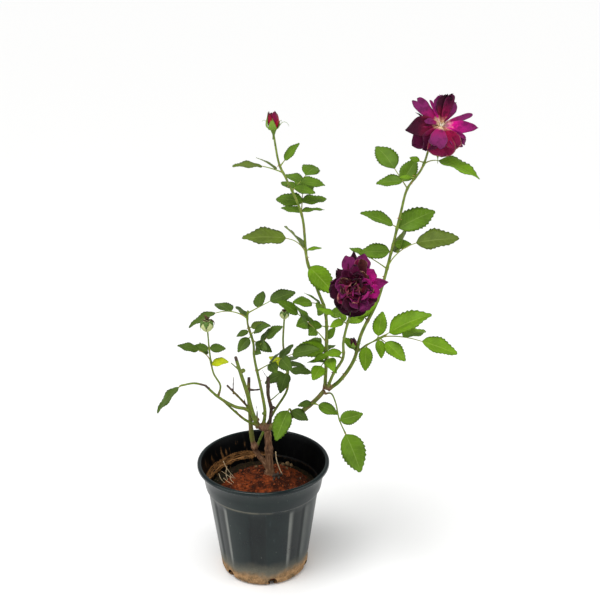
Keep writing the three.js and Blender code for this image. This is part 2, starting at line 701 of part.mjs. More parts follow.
// Each limb is bare up to the height where its first mass begins.
for (const [name, limb] of Object.entries(LIMBS)) {
  const masses = Object.values(MASSES).filter((mass) => mass.on === name);
  limb.bareTo = masses.length > 0 ? limb.line.atHeight(Math.min(...masses.map((mass) => mass.from))) : 1;
}

// Limbs are seated one after another, each clear of those that already stand.
const standing = [trunkSolid(GAP)];
for (const [name, limb] of Object.entries(LIMBS)) {
  const made = standing.reduce((left, other) => left.subtract(other), limbSolid(limb, { to: limb.bareTo }));
  place(name, largest(made), limb.bark);
  standing.push(limbSolid(limb, { to: limb.bareTo, extra: GAP }));
}

for (const [name, bloom] of Object.entries(BLOOMS)) place(name, bloomSolid(bloom), bloom.color);
place('bud', budSolid(), budGreen);
for (const [name, hip] of Object.entries(HIPS)) place(name, hipSolid(hip), paleHip);

const stems = Object.entries(MASSES).map(([name, mass]) => entry(name, massStem(mass)));
Object.entries(MASSES).forEach(([name, mass], index) => growMass(name, mass, stems, 101 + index));

export default plant;
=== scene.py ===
"""A patio rose in a nursery pot: bark, canes, leaves, blooms and pot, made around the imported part's frame.

Stem lines, leaf rows and petal rows are in millimetres, as in the part's source; meshes are made in metres.
Headings are degrees in plan: 0 is +X, 90 is +Y. Rises are degrees above level.
"""

import math

import bmesh
import bpy
import numpy as np
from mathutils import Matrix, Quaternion, Vector, noise


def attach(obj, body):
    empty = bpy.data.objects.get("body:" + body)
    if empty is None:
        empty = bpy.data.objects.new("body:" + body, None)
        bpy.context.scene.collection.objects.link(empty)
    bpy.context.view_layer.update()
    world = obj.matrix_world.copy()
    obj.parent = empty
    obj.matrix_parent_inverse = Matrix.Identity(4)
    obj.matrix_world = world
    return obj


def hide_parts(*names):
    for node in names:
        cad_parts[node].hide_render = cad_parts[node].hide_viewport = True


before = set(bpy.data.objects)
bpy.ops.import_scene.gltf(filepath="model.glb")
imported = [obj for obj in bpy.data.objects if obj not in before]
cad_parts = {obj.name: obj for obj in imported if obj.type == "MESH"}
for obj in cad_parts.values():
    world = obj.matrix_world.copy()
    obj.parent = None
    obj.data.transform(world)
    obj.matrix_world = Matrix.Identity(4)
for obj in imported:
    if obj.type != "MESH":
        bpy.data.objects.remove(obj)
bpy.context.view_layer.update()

MM = 0.001
BODY = "root"
UP = Vector((0, 0, 1))

noise.seed_set(2)  # noise_vector's own offsets come from the clock without it


# ---- Sizes, in millimetres unless a comment says otherwise -------------------------------------------

POT = {
    "height": 180,
    "base": 60,  # radius of the flat underside
    "body_foot": 67.5,
    "body_top": 85,
    "step": 140,  # height of the step under the collar
    "collar_foot": 88,
    "collar_top": 93.5,
    "lip": 100,
    "lip_height": 7,
    "wall": 2,
    "round": 10,  # height of the rounded corner above the underside
    "panels": 8,
    "panel_depth": 1.5,
    "panel_half": 9,  # degrees from a panel's middle to its edge
    "panel_flank": (2.4, 0.6),  # degrees inside and outside that edge where the wall eases in
    "panel_angle": -5,  # degrees from straight ahead to the first panel
    "drain_holes": 6,
    "drain_turn": -78,  # heading of the first drain hole
    "drain_radius": 7,
    "drain_height": 6.5,
    "drain_depth": 24,
    "sides": 192,
}

SOIL = {
    "edge": 136,  # height where it meets the wall
    "mound": 148.7,  # height at the trunk
    "middle": (9, 13),  # of the mound
    "patch": 17,  # radius of the mound's top
    "spread": 62,  # radius of the mound's foot
    "grain": 1.3,  # height of the clods
    "crown": (5, -6),  # middle of the red crumb
    "moss": 66,  # how far the red crumb reaches before the moss
    "hollow": 4.5,  # depth of the dip along the wall
    "crumbs": 1100,
    "crumb_reach": 79,
}

LEAFLET = {
    "width": 0.62,  # of its length
    "fold": 0.22,  # how far its sides rise from the midrib, of their width
    "curl": 0.16,  # how far its tip drops, of its length
    "spacing": 0.5,  # from one pair to the next, of the leaf's size
    "sink": 1.2,  # how deep its foot sits in the stalk
    "splay": 62,  # degrees from the stalk to a side leaflet
    "swing": 14,  # degrees of chance in that
    "tilt": 36,  # degrees of chance in how it rolls
    "lift": 5,  # degrees that a stalk starts above its rise
    "thick": 0.4,
    "teeth": 10,  # on each side
    "last_pair": 0.84,  # length of the side leaflets next to the end one, of its length
    "pair_step": 0.14,  # how much shorter each pair before it is
}

TRUNK = {
    "foot": (9, 13, 144.7),
    "middle": (8, 14, 184),
    "top": (6, 14, 226),
    "foot_width": 12,
    "top_width": 10,
    "flare": 4.5,  # how much wider its radius is at the soil
    "flare_fade": 14,
    "ring": 190,  # height of the old swelling round it
    "ring_swell": 1.5,
    "ring_reach": 4,
}

LIMB_COLLAR = 5  # how far the swelling at a limb's foot reaches
LEAF_KNOT = 0.45  # swelling where a leaf leaves its limb
LEAF_KNOT_REACH = 2.2

BARK = {
    "voxel": 0.75,
    "brown_to": 188,  # height up to which a weathered limb is brown
    "skin_from": 202,  # height from which it is skinned over green and tan
    "skin": 0.53,
    "foot_brown": 0.8,  # how brown a green limb is at its foot
    "foot_fade": 14,
    "skin_ridge": 0.05,
    "ridge": 0.24,
    "knob": 0.75,
}

# Each limb: the points of its middle line, its width at foot and tip, and its bark.
LIMBS = {
    "side_stem": (
        [(6, 17, 158), (-13, 22, 183), (-19, 24, 214), (-20, 25, 242), (-22, 26, 273), (-21, 26, 304)],
        9, 5, "weathered",
    ),
    "bough_back": (
        [(-12, 22, 186), (-3, 30, 206), (16, 42, 240), (36, 53, 272), (36, 58, 305), (30, 60, 342),
         (32, 62, 388)],
        4.6, 3, "green",
    ),
    "bough_right": (
        [(9, 13, 226), (27, 9, 240), (56, 2, 258), (79, -3, 281), (91, -5, 297)],
        8, 6.4, "weathered",
    ),
    "bough_left": (
        [(-8, 11, 240), (-24, 3, 262), (-40, -8, 272), (-64, -20, 294), (-81, -30, 317)],
        6, 3.6, "green",
    ),
    "stub_green": (
        [(-7, 12, 228), (-15, 7, 252), (-22, -2, 290), (-31, -14, 330), (-37, -20, 357)],
        7.6, 4.8, "green",
    ),
    "bough_centre": (
        [(0, 13, 230), (3, 9, 254), (-1, 3, 290), (-11, -4, 350), (-12, -4, 372), (-20, 0, 402),
         (-19, 2, 420)],
        5.6, 2.8, "green",
    ),
    "bough_left_low": (
        [(-9, 14, 230), (-26, 6, 243), (-37, 0, 256), (-58, -15, 286)],
        4.4, 3, "green",
    ),
    "stub_dead": (
        [(9, 16, 228), (11, 17, 245), (12, 18, 257), (8, 18, 276), (8, 18, 308)],
        5.4, 5.6, "dead",
    ),
    "twig_dead": (
        [(-17, 5, 258), (-31, 7, 275), (-52, -2, 304)],
        3.8, 3.2, "weathered",
    ),
    "cane_left": (
        [(92, -5, 299), (94, 3, 352), (92, 11, 415), (81, 14, 446), (66, 18, 488), (58, 24, 555),
         (36, 30, 606), (27, 30, 625), (19, 32, 668)],
        5.6, 3, "green",
    ),
    "cane_front": (
        [(95, -7, 300), (104, -14, 328), (117, -22, 356), (117, -30, 385), (126, -42, 436)],
        5, 3.6, "green",
    ),
    "cane_tall": (
        [(96, -3, 297), (113, 3, 308), (134, 9, 338), (145, 14, 379), (168, 22, 428), (188, 33, 505),
         (199, 38, 556), (207, 40, 589), (226, 39, 618), (236, 34, 655)],
        6, 3.2, "green",
    ),
}

# Short dead twigs and snags left from old pruning.
SNAGS = [
    ([(-43, 3, 287), (-43, 1, 300), (-42, -1, 317)], 2.2, 1.4, "green"),
    ([(-26, 5, 270), (-27, 3, 279), (-27, 2, 287)], 1.8, 1.0, "dead"),
    ([(-20, 25, 284), (-12, 18, 287), (-2, 10, 292)], 3.2, 2.6, "dead"),
    ([(-31, -13, 332), (-38, -16, 340), (-44, -18, 347)], 2.6, 1.6, "green"),
    ([(9, 17, 306), (5, 10, 314), (0, 4, 326)], 1.8, 1.0, "dead"),
    ([(8, 17, 268), (14, 12, 275), (25, 6, 288)], 2.4, 1.8, "green"),
    ([(-9, 13, 245), (-9, 13, 255), (-10, 14, 265)], 2.0, 1.0, "dead"),
    ([(-32, 2, 250), (-35, -1, 256), (-40, -2, 264)], 1.8, 1.0, "brown"),
]

# Old swellings where limbs part: the middle of each, its radius, and its stretch along each axis.
KNUCKLES = [
    ((1, 13, 228), 8.5, (1.15, 0.85, 0.75)), ((15, 17, 258), 3.4, (1.2, 1, 0.8)),
    ((-27, -12, 332), 3.6, (1, 1, 0.9)), ((2, 8, 253), 3.4, (1.1, 1, 0.8)), ((-14, 22, 190), 6, (1, 1, 1.1)),
]

# Pruned ends that have dried, and how far down the dry wood goes.
CUT_ENDS = {"stub_green": 9, "side_stem": 12, "bough_left": 12, "twig_dead": 20}

PRICKLES = {
    "cane_left": 13, "cane_tall": 15, "cane_front": 7, "bough_centre": 6, "bough_left": 5, "bough_back": 6,
    "stub_green": 3, "side_stem": 3,
}

# What lies on the soil. Pebbles: place in plan, size, and 0 for stone or 1 for mud. Rootlets: radius, line.
PEBBLES = [
    (35, 70, 6, 0), (28, 66, 4, 0), (42, 66, 4.4, 0), (35, 34, 3.6, 0), (-13, 38, 3.2, 0),
    (-40, -30, 2.2, 0), (12, -52, 2.4, 0), (17, 3, 4.6, 1), (21, 5, 5, 1), (23, -1, 3.6, 1),
    (16, -3, 3.2, 1), (26, 6, 3.4, 1),
]
ROOTLETS = [
    (0.9, [(18, 20, 182), (19, 17, 172), (24, 13, 156), (32, 7, 142)]),
    (0.42, [(21, 14, 150), (24, 8, 145), (28, 0, 142)]),
    (0.42, [(-64, 34, 158), (-60, 30, 150), (-53, 24, 143), (-47, 18, 139)]),
    (0.42, [(-66, 20, 148), (-60, 19, 144), (-52, 14, 141), (-44, 14, 139)]),
    (0.42, [(-58, 26, 153), (-59, 18, 145), (-56, 8, 139)]),
    (0.42, [(-70, 16, 146), (-66, 8, 141), (-60, 2, 138)]),
    (0.42, [(-62, 6, 144), (-56, 2, 141), (-48, -4, 139)]),
    (0.42, [(-52, 12, 147), (-51, 6, 142), (-46, 0, 139)]),
    (0.42, [(-22, 4, 144), (-21, -2, 142), (-23, -9, 140)]),
]


# Which sides of a stalk carry leaflets.
BOTH = (1, -1)
FAR_LEFT = (-1,)
FAR_RIGHT = (1,)


def leaf(height, heading, rise, stalk, size, pairs, arch=10, facing=25, sides=BOTH, tint=None):
    """One compound leaf: where its stalk leaves the stem, which way it points, its stalk and leaflets."""
    return dict(height=height, heading=heading, rise=rise, stalk=stalk, size=size, pairs=pairs, arch=arch,
                facing=facing, sides=sides, tint=tint)


# Each mass: the limb it grows on or a shoot of its own, its tint, and its leaves from the bottom up.
MASSES = {
    "foliage_left_low": ("cane_left", "mid", [
        leaf(342, -112, -8, 6, 32, 1, tint="fresh"), leaf(350, 115, 5, 8, 34, 1),
        leaf(354, -82, -8, 8, 28, 1, tint="fresh"), leaf(362, -168, -10, 3, 46, 0, 0, 35, tint="fresh"),
        leaf(369, -158, 42, 30, 38, 2, 12), leaf(372, 20, 62, 4, 20, 0, 0, 60),
        leaf(392, -165, 10, 8, 28, 0), leaf(410, -20, 20, 8, 28, 0, 10, 40),
        leaf(424, -140, 16, 8, 34, 1, 10, 35),
    ]),
    "foliage_left_mid": ("cane_left", "fresh", [
        leaf(482, -20, -42, 2, 50, 0, 0, 60), leaf(487, -163, 37, 24, 62, 1, 80, 10, FAR_LEFT, "olive"),
        leaf(503, 0, 15, 3, 20, 0),
    ]),
    "foliage_left_top": ("cane_left", "mid", [
        leaf(556, 88, 14, 4, 50, 2, 0), leaf(588, 66, 10, 8, 42, 2, 0),
        leaf(614, -160, 14, 12, 42, 1, 10, 25, FAR_LEFT, "olive"), leaf(622, -15, 48, 12, 30, 0, 0, 35),
    ]),
    "foliage_front": ("cane_front", "fresh", [
        leaf(366, -165, -4, 4, 26, 0, 0, 40), leaf(414, 165, 24, 8, 26, 1),
    ]),
    "foliage_tall_low": ("cane_tall", "fresh", [
        leaf(354, 150, 30, 3, 26, 0, 0, 30), leaf(398, 150, 30, 8, 34, 1, 10, 35),
        leaf(428, -170, -38, 2, 40, 0, 0, 50),
    ]),
    "foliage_tall_mid": ("cane_tall", "mid", [
        leaf(474, 160, 22, 34, 30, 0), leaf(476, -10, 34, 28, 60, 1, 50, 25, FAR_RIGHT, "olive"),
        leaf(498, 172, -4, 3, 44, 0, 0, 60), leaf(508, -5, 5, 3, 24, 0, 0, 60),
        leaf(531, 10, 22, 3, 58, 0, 10, 30), leaf(533, -171, 24, 8, 48, 0, 10, 30),
    ]),
    "foliage_tall_top": ("cane_tall", "mid", [
        leaf(589, 125, 34, 14, 48, 1, 0, 60), leaf(604, 175, 5, 6, 16, 0, tint="fresh"),
        leaf(624, -12, 5, 22, 62, 0, 50, 5, tint="fresh"), leaf(626, 160, 10, 8, 14, 0, 0, 40, tint="fresh"),
    ]),
    "foliage_centre_low": ("bough_centre", "dark", [
        leaf(327, -20, 26, 26, 40, 2, 10), leaf(356, -31, 46, 8, 30, 2, 10, 40),
    ]),
    "foliage_centre_top": ("bough_centre", "dark", [
        leaf(376, -30, -20, 6, 28, 0, 0, 50), leaf(382, -131, -24, 6, 28, 0),
        leaf(385, -35, 34, 8, 30, 0, 0, 40), leaf(390, -160, -10, 3, 18, 0),
        leaf(394, 20, 2, 4, 28, 0, 0, 20, tint="olive"),
        leaf(408, -176, 0, 4, 45, 2, 60, 5, FAR_LEFT), leaf(416, 8, 22, 18, 38, 1, 0, 30, FAR_RIGHT),
    ]),
    "foliage_back": ("bough_back", "dark", [
        leaf(297, -154, -10, 6, 34, 0), leaf(299, -110, -20, 6, 34, 0), leaf(301, -28, 7, 6, 34, 0),
        leaf(303, 160, 35, 8, 28, 0, 0, 40, tint="yellow"), leaf(306, 80, -5, 8, 34, 1),
    ]),
    "foliage_hip": (
        [(-63, -20, 296), (-60, -20, 312), (-69, -22, 332), (-73, -25, 362), (-75, -28, 403)], "dark", [
            leaf(348, -24, 20, 2, 26, 0, 0, 40, tint="yellow"),
            leaf(351, -165, 38, 14, 28, 1, 50, 20, FAR_LEFT),
            leaf(371, 175, 10, 2, 20, 0, 0, 60), leaf(373, -5, 6, 2, 22, 0, 0, 60),
        ]),
    "foliage_right_spray": ([(138, 12, 350), (150, 8, 362), (168, 5, 374), (179, 3, 381)], "fresh", [
        leaf(364, -96, -50, 4, 34, 0), leaf(374, 60, 60, 6, 36, 0, 0, 60),
        leaf(375, -80, -50, 3, 26, 0, 0, 30), leaf(376, -40, -24, 12, 40, 0, 0, 30),
        leaf(379, -16, -9, 30, 56, 1, 25, 10, FAR_RIGHT),
        leaf(381, -12, 34, 8, 62, 0, 10, 15),
    ]),
    "leaf_far_left": ([(-82, -30, 317), (-96, -34, 322), (-115, -40, 321)], "dark", [
        leaf(321, -160, -44, 4, 50, 0, 0, 0),
    ]),
    "leaf_hanging": ([(42, 5, 252), (42, 4, 259), (40, -1, 265)], "fresh", [
        leaf(262, -35, -14, 3, 28, 0, 0, 40, tint="dark"), leaf(265, -136, -44, 4, 45, 0, tint="mid"),
    ]),
    "foliage_fork": ([(71, -2, 276), (75, -8, 278), (78, -14, 280)], "mid", [
        leaf(278, -170, -6, 3, 20, 0, 0, 40, tint="dark"), leaf(280, -25, -20, 6, 30, 0, 0, 60),
    ]),
    "leaf_drooping": (
        [(92, -6, 292), (101, -13, 296), (107, -20, 286), (113, -31, 262), (121, -40, 246)], "mid", [
            leaf(262, -20, 20, 2, 36, 0, 0, 70), leaf(246, -45, -66, 3, 62, 0, 0, 35),
        ]),
}
SHOOT_WIDTHS = {  # foot and tip of the masses' own shoots
    "foliage_hip": (3.2, 2.4), "foliage_right_spray": (3, 2.2), "leaf_far_left": (2.6, 2.2),
    "leaf_hanging": (2.8, 2.4), "foliage_fork": (2.8, 2.4), "leaf_drooping": (2.8, 2.2),
}
FIRST_SEED = 101

PETAL_TINTS = ["velvet", "plum", "mauve", "magenta", "hot", "crimson", "dried", "ruby"]


def petal(turn, lean, length, width, tint, tip="round", curl=0.15, cup=0.15, ruffle=0.05, crumple=1.9):
    """One petal in its bloom's face: turn 0 is to the right and 90 up, lean is forward out of the face."""
    return dict(turn=turn, lean=lean, length=length, width=width, tint=tint, tip=tip, curl=curl, cup=cup,
                ruffle=ruffle, crumple=crumple)


# Each bloom: its heart, where it faces (heading, rise), the depth of its core, the width of its green cup,
# the cane it ends, its slot, its sepals (heading, rise, length, width), and its petals from the back to
# the front.
BLOOMS = {
    "bloom_top": {
        "heart": (249, 30, 680), "face": (-90, 20), "core": 4, "cup": 7, "cane": "cane_tall",
        "slot": "petal",
        "sepals": [(-84, -80, 38, 18), (20, -20, 22, 7), (100, -10, 22, 7), (165, -30, 20, 6),
                   (240, -30, 22, 6)],
        "petals": [
            petal(-62, -14, 38, 30, "plum"), petal(-140, -12, 42, 32, "velvet"),
            petal(66, -6, 37, 20, "velvet", "ragged"), petal(57, 2, 36, 13, "mauve", "ragged"),
            petal(-176, 4, 48, 31, "velvet", "point", 0.08, 0.3, 0.1),
            petal(-150, 4, 43, 27, "plum", "ragged", 0.22, 0.1, 0.15),
            petal(138, 8, 50, 18, "mauve", "notch", 0.05), petal(115, 14, 36, 4, "magenta", "strap", 0),
            petal(158, 0, 38, 4, "velvet", "point", 0),
            petal(92, 10, 38, 18, "mauve", "ragged", -0.02, 0.2, 0.1),
            petal(83, 14, 40, 22, "velvet", "ragged", -0.06, 0.3, 0.14),
            petal(75, 17, 43, 13, "plum", "ragged", -0.1, 0.3, 0.2),
            petal(19, 4, 44, 8, "mauve", "strap", 0.02), petal(-9, 9, 50, 18, "magenta", "point", 0.04),
            petal(-46, 6, 40, 20, "mauve", "ragged", 0.16, 0.24, 0.12),
            petal(-92, 6, 40, 38, "crimson", "ragged", 0.22, 0.15, 0.07),
            petal(-28, 12, 36, 8, "magenta", "ragged", 0.12, 0.4, 0.16),
            petal(161, 18, 24, 8, "mauve", "round", 0.1, 0.4),
            petal(-126, 16, 37, 27, "plum", "ragged", 0.3, 0.3, 0.16),
            petal(-60, 14, 36, 22, "crimson", "ragged", 0.2, 0.2, 0.12),
            petal(-104, 42, 30, 26, "mauve", "round", 0.45, -0.25, 0.1),
        ],
    },
    "bloom_front": {
        "heart": (132, -49, 470), "face": (-90, 16), "core": 15, "cup": 8, "cane": "cane_front",
        "slot": "dark_petal",
        "sepals": [(-120, -60, 24, 5), (-30, -70, 26, 5), (60, -30, 20, 6), (150, -55, 26, 5),
                   (210, -75, 30, 5)],
        "petals": [
            petal(97, -10, 51, 19, "velvet", "point", 0, 0.5),
            petal(-97, -22, 36, 34, "velvet", "ragged", -0.3, 0.35),
            petal(-128, -16, 34, 28, "velvet", "ragged", -0.25, 0.35, 0.1),
            petal(-58, -6, 33, 26, "mauve", "round", -0.1, 0.3, 0.05),
            petal(103, -6, 47, 22, "mauve", "round", -0.06, 0.3),
            petal(72, -6, 48, 22, "mauve", "round", -0.05, 0.3),
            petal(137, 2, 35, 18, "velvet", "ragged", 0.1, 0.1, 0.12),
            petal(166, 2, 34, 26, "plum", "ragged", -0.1, 0.3, 0.1),
            petal(-166, 4, 35, 26, "velvet", "ragged", -0.15, 0.35, 0.12),
            petal(-150, 14, 30, 18, "crimson", "ragged", -0.1, 0.3, 0.14),
            petal(47, 8, 36, 22, "hot", "round", -0.05), petal(15, 4, 44, 19, "magenta", "point", 0.03),
            petal(-7, 14, 33, 20, "hot", "round", -0.05),
            petal(-34, 10, 31, 20, "plum", "ragged", -0.05, 0.3, 0.1),
            petal(-82, 20, 31, 27, "mauve", "round", -0.2, 0.3, 0.05),
            petal(-112, 16, 33, 24, "velvet", "ragged", -0.2, 0.35, 0.1),
            petal(-48, 26, 24, 14, "mauve", "ragged", -0.1, 0.35, 0.1),
            petal(72, 8, 41, 13, "dried", "strap", 0, 0.9, 0.1),
            petal(84, 6, 40, 9, "crimson", "strap", 0.1, 0.6),
            petal(118, 14, 30, 15, "plum", "ragged", 0, 0.2, 0.14),
            petal(26, 30, 27, 17, "hot", "round", -0.1, 0.2),
            petal(-28, 34, 25, 16, "hot", "round", -0.2, 0.3),
            petal(60, 22, 26, 14, "dried", "ragged", 0, 0.3, 0.17),
            petal(96, 26, 33, 17, "plum", "ragged", 0.05, 0.4, 0.14),
            petal(178, 30, 22, 8, "dried", "strap", -0.1, 0.6, 0.1),
            petal(-168, 34, 20, 7, "dried", "strap", -0.1, 0.6, 0.1),
        ],
    },
}

# The crumpled middle of the full bloom, ring by ring from the outside: how many petals, their lean, how far
# out they stand, of the core, and their length. Their tints are drawn from the list.
INNER_RINGS = [(11, 20, 0.75, 16), (12, 36, 0.62, 16), (9, 54, 0.4, 15), (6, 74, 0.12, 14)]
INNER_TINTS = ["crimson", "dried", "plum", "velvet", "hot", "dried", "mauve", "crimson"]

# Each bud: where its stem starts, the middle of its foot, the way from there to its tip, its radius, and the
# two tints that its petals take in turn.
BUDS = [
    {"stem": (19, 32, 660), "foot": (19, 32, 673), "axis": (-1, -1, 26), "radius": 8,
     "tints": ("crimson", "ruby")},
    {"stem": (138, 11, 351), "foot": (134, 9, 361), "axis": (-2, -2, 15), "radius": 4.6,
     "tints": ("velvet", "dried")},
]
# A bud's sepals: heading, width, and line as distances out from the axis and up it, for a radius of 8.
BUD_SEPALS = [
    (-96, 12, [(3, 0), (8.8, 5), (9.2, 11), (6.4, 18), (5, 22)]),
    (-155, 9, [(3, 0), (8.2, 5), (8.8, 12), (8, 19), (7.4, 26)]),
    (-15, 6, [(3, 0), (7.5, 5), (12, 10.5), (17, 12), (21, 9.5), (23, 5)]),
    (118, 7, [(3, 0), (8.8, 6), (9.2, 12), (8, 19)]),
    (48, 7, [(3, 0), (9, 5), (12, 10), (16, 12), (18, 9)]),
    (170, 1.2, [(9.2, 11), (12, 13.4), (14.5, 12.4), (15.5, 11)]),
]
HIPS = {
    "hip_left": {"centre": (-75.5, -28, 409), "radius": 9.5, "height": 19},
    "hip_back": {"centre": (32, 62, 391), "radius": 7, "height": 14},
}

CAMERA = {"place": (55.5, -1275, 893), "down": 19.7, "lens": 57, "sensor": 36}
SUN = {"energy": 2.2, "spread": 40, "tip": (14, -12)}
# Soft lamps at both sides: place, size and power.
LAMPS = {"left": ((-1400, -700, 900), 1100, 9), "right": ((1400, -500, 800), 1100, 9)}
LAMPS_AIM = (50, 0, 350)


# ---- Draws and lines -----------------------------------------------------------------------------------

def seeded(seed):
    """The same draws in the same order as the part's source makes."""
    state = seed

    def draw():
        nonlocal state
        state = (state * 1664525 + 1013904223) % 4294967296
        return state / 4294967296

    return draw


def lerp(a, b, u):
    """The value a share u of the way from a to b."""
    return a + (b - a) * u


def smooth(low, high, x):
    """0 below low, 1 above high, and an even swell between."""
    t = min(max((x - low) / (high - low), 0), 1)
    return t * t * (3 - 2 * t)


def spline(points, per_span=16):
    """A centripetal Catmull-Rom spline through the points, as the source's limbs follow."""
    points = np.array(points, float)
    ends = np.vstack([2 * points[0] - points[1], points, 2 * points[-1] - points[-2]])
    found = []
    for a, b, c, d in zip(ends, ends[1:], ends[2:], ends[3:]):
        ab, bc, cd = (np.linalg.norm(q - p) ** 0.5 for p, q in ((a, b), (b, c), (c, d)))
        leave = ((b - a) / ab - (c - a) / (ab + bc) + (c - b) / bc) * bc
        reach = ((c - b) / bc - (d - b) / (bc + cd) + (d - c) / cd) * bc
        for t in np.linspace(0, 1, per_span, endpoint=False):
            found.append(b + leave * t + (3 * (c - b) - 2 * leave - reach) * t ** 2
                         + (2 * (b - c) + leave + reach) * t ** 3)
    return np.array([*found, points[-1]])


class Line:
    """The middle line of a limb or stalk, read by its share of the length."""

    def __init__(self, points):
        self.samples = spline(points)
        legs = np.linalg.norm(np.diff(self.samples, axis=0), axis=1)
        self.reach = np.concatenate([[0], np.cumsum(legs)])
        self.length = self.reach[-1]

    def at(self, u):
        distance = min(max(u, 0), 1) * self.length
        return Vector([np.interp(distance, self.reach, self.samples[:, axis]) for axis in range(3)])

    def at_height(self, height):
        """The share of the length where the line passes a height, to half a hundredth."""
        shares = np.linspace(0, 1, 201)
        return min(shares, key=lambda u: abs(self.at(u).z - height))

    def sections(self, shares):
        """Centre, direction and two side axes at each share; the axes are carried along untwisted."""
        centres = [self.at(u) for u in shares]
        step = 0.5 / 96
        found, side = [], None
        for u, centre in zip(shares, centres):
            along = (self.at(u + step) - self.at(u - step)).normalized()
            side = along.orthogonal() if side is None else side - along * side.dot(along)
            side.normalize()
            found.append((centre, along, side.copy(), along.cross(side)))
        return found


def aim(heading, rise, facing=0):
    """The direction of a heading and rise, and the direction across it, as in the source."""
    h, r = math.radians(heading), math.radians(rise)
    along = Vector((math.cos(r) * math.cos(h), math.cos(r) * math.sin(h), math.sin(r)))
    across = Vector((-math.sin(h), math.cos(h), 0))
    across.rotate(Quaternion(along, math.radians(facing) * math.cos(h)))
    return along, across


# ---- Meshes --------------------------------------------------------------------------------------------

class Gathered:
    """Many small shapes joined into one mesh, each with its finish and its place on the surface."""

    def __init__(self, name, finishes):
        self.name, self.finishes = name, finishes
        self.points, self.faces, self.tints, self.places = [], [], [], []

    def add(self, points, faces, places, tint=0, under=None):
        """Adds a shape. Where under is given, the second half of the faces takes that finish."""
        start = len(self.points)
        self.points += points
        self.faces += [tuple(start + i for i in face) for face in faces]
        half = len(faces) // 2
        self.tints += [tint] * len(faces) if under is None else [tint] * half + [under] * (len(faces) - half)
        self.places += [places[i] for face in faces for i in face]

    def build(self, slot, nodes=()):
        mesh = bpy.data.meshes.new(self.name)
        mesh.from_pydata([p * MM for p in self.points], [], self.faces)
        layer = mesh.uv_layers.new(name="surface")
        layer.data.foreach_set("uv", np.array(self.places, np.float32).ravel())
        for finish in self.finishes:
            mesh.materials.append(finish)
        mesh.polygons.foreach_set("material_index", self.tints)
        mesh.polygons.foreach_set("use_smooth", [True] * len(self.faces))
        mesh.update()
        piece = bpy.data.objects.new(self.name, mesh)
        bpy.context.collection.objects.link(piece)
        return settle(piece, slot, nodes)


def settle(piece, slot, nodes=()):
    """Rides a finished piece on the plant and hides the nodes it stands for; slot is not used."""
    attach(piece, BODY)
    if nodes:
        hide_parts(*nodes)
    return piece


def tube(line, radius_at, sides, steps, start=0, end=1):
    """A closed round tube along a line: points, faces, and a place (turn, millimetres along) for each."""
    shares = np.linspace(start, end, steps + 1)
    points, places = [], []
    for u, (centre, _, side, up) in zip(shares, line.sections(shares)):
        for k in range(sides):
            turn = 2 * math.pi * k / sides
            points.append(centre + (side * math.cos(turn) + up * math.sin(turn)) * radius_at(u))
            places.append((k / sides, u * line.length))
    faces = []
    for i in range(steps):
        for k in range(sides):
            a, b = i * sides + k, i * sides + (k + 1) % sides
            faces.append((a, b, b + sides, a + sides))
    last = steps * sides
    faces += [tuple(range(sides - 1, -1, -1)), tuple(range(last, last + sides))]
    return points, faces, places


def thin_blade(rows, shares, place):
    """A closed thin blade. place(s, t, face) gives its point at a share across (-1 to 1) and along;
    face is 1 on the upper side, -1 on the lower and 0 at the edge. The upper faces come first."""
    points, places, index = [], [], {}

    def corner(i, j, face):
        edge = i in (0, rows) or j in (0, len(shares) - 1)
        column = j if 0 < i < rows else 0
        key = (i, column, 0 if edge else face)
        if key not in index:
            s = shares[j] if 0 < i < rows else 0
            index[key] = len(points)
            points.append(place(s, i / rows, key[2]))
            places.append((0.5 + 0.5 * s, i / rows))
        return index[key]

    faces = []
    for face in (1, -1):
        for i in range(rows):
            for j in range(len(shares) - 1):
                steps = (i, j), (i + 1, j), (i + 1, j + 1), (i, j + 1)
                ring = list(dict.fromkeys(corner(*step, face) for step in steps))
                faces.append(tuple(ring if face > 0 else reversed(ring)))
    return points, faces, places


# ---- Finishes ------------------------------------------------------------------------------------------

def paint(code):
    """A hex colour as the shader's own linear one."""
    channels = [int(code[i:i + 2], 16) / 255 for i in (1, 3, 5)]
    return (*[c / 12.92 if c <= 0.04045 else ((c + 0.055) / 1.055) ** 2.4 for c in channels], 1)


class Value:
    """What a node gives. Python's operators on it add the Math nodes."""

    def __init__(self, finish, socket):
        self.finish, self.socket = finish, socket

    def math(self, operation, *terms):
        return self.finish.node("ShaderNodeMath", {"operation": operation}, dict(enumerate(terms)))

    def __add__(self, other):
        return self.math("ADD", self, other)

    def __radd__(self, other):
        return self.math("ADD", other, self)

    def __sub__(self, other):
        return self.math("SUBTRACT", self, other)

    def __rsub__(self, other):
        return self.math("SUBTRACT", other, self)

    def __mul__(self, other):
        return self.math("MULTIPLY", self, other)

    def __rmul__(self, other):
        return self.math("MULTIPLY", other, self)

    def __pow__(self, other):
        return self.math("POWER", self, other)

    def __abs__(self):
        return self.math("ABSOLUTE", self)

    def __mod__(self, other):
        return self.math("FLOORED_MODULO", self, other)

    def swell(self, low, high):
        """0 below low, 1 above high, evenly between."""
        return self.finish.node("ShaderNodeMapRange", {"interpolation_type": "SMOOTHSTEP"},
                                {"Value": self, "From Min": low, "From Max": high})


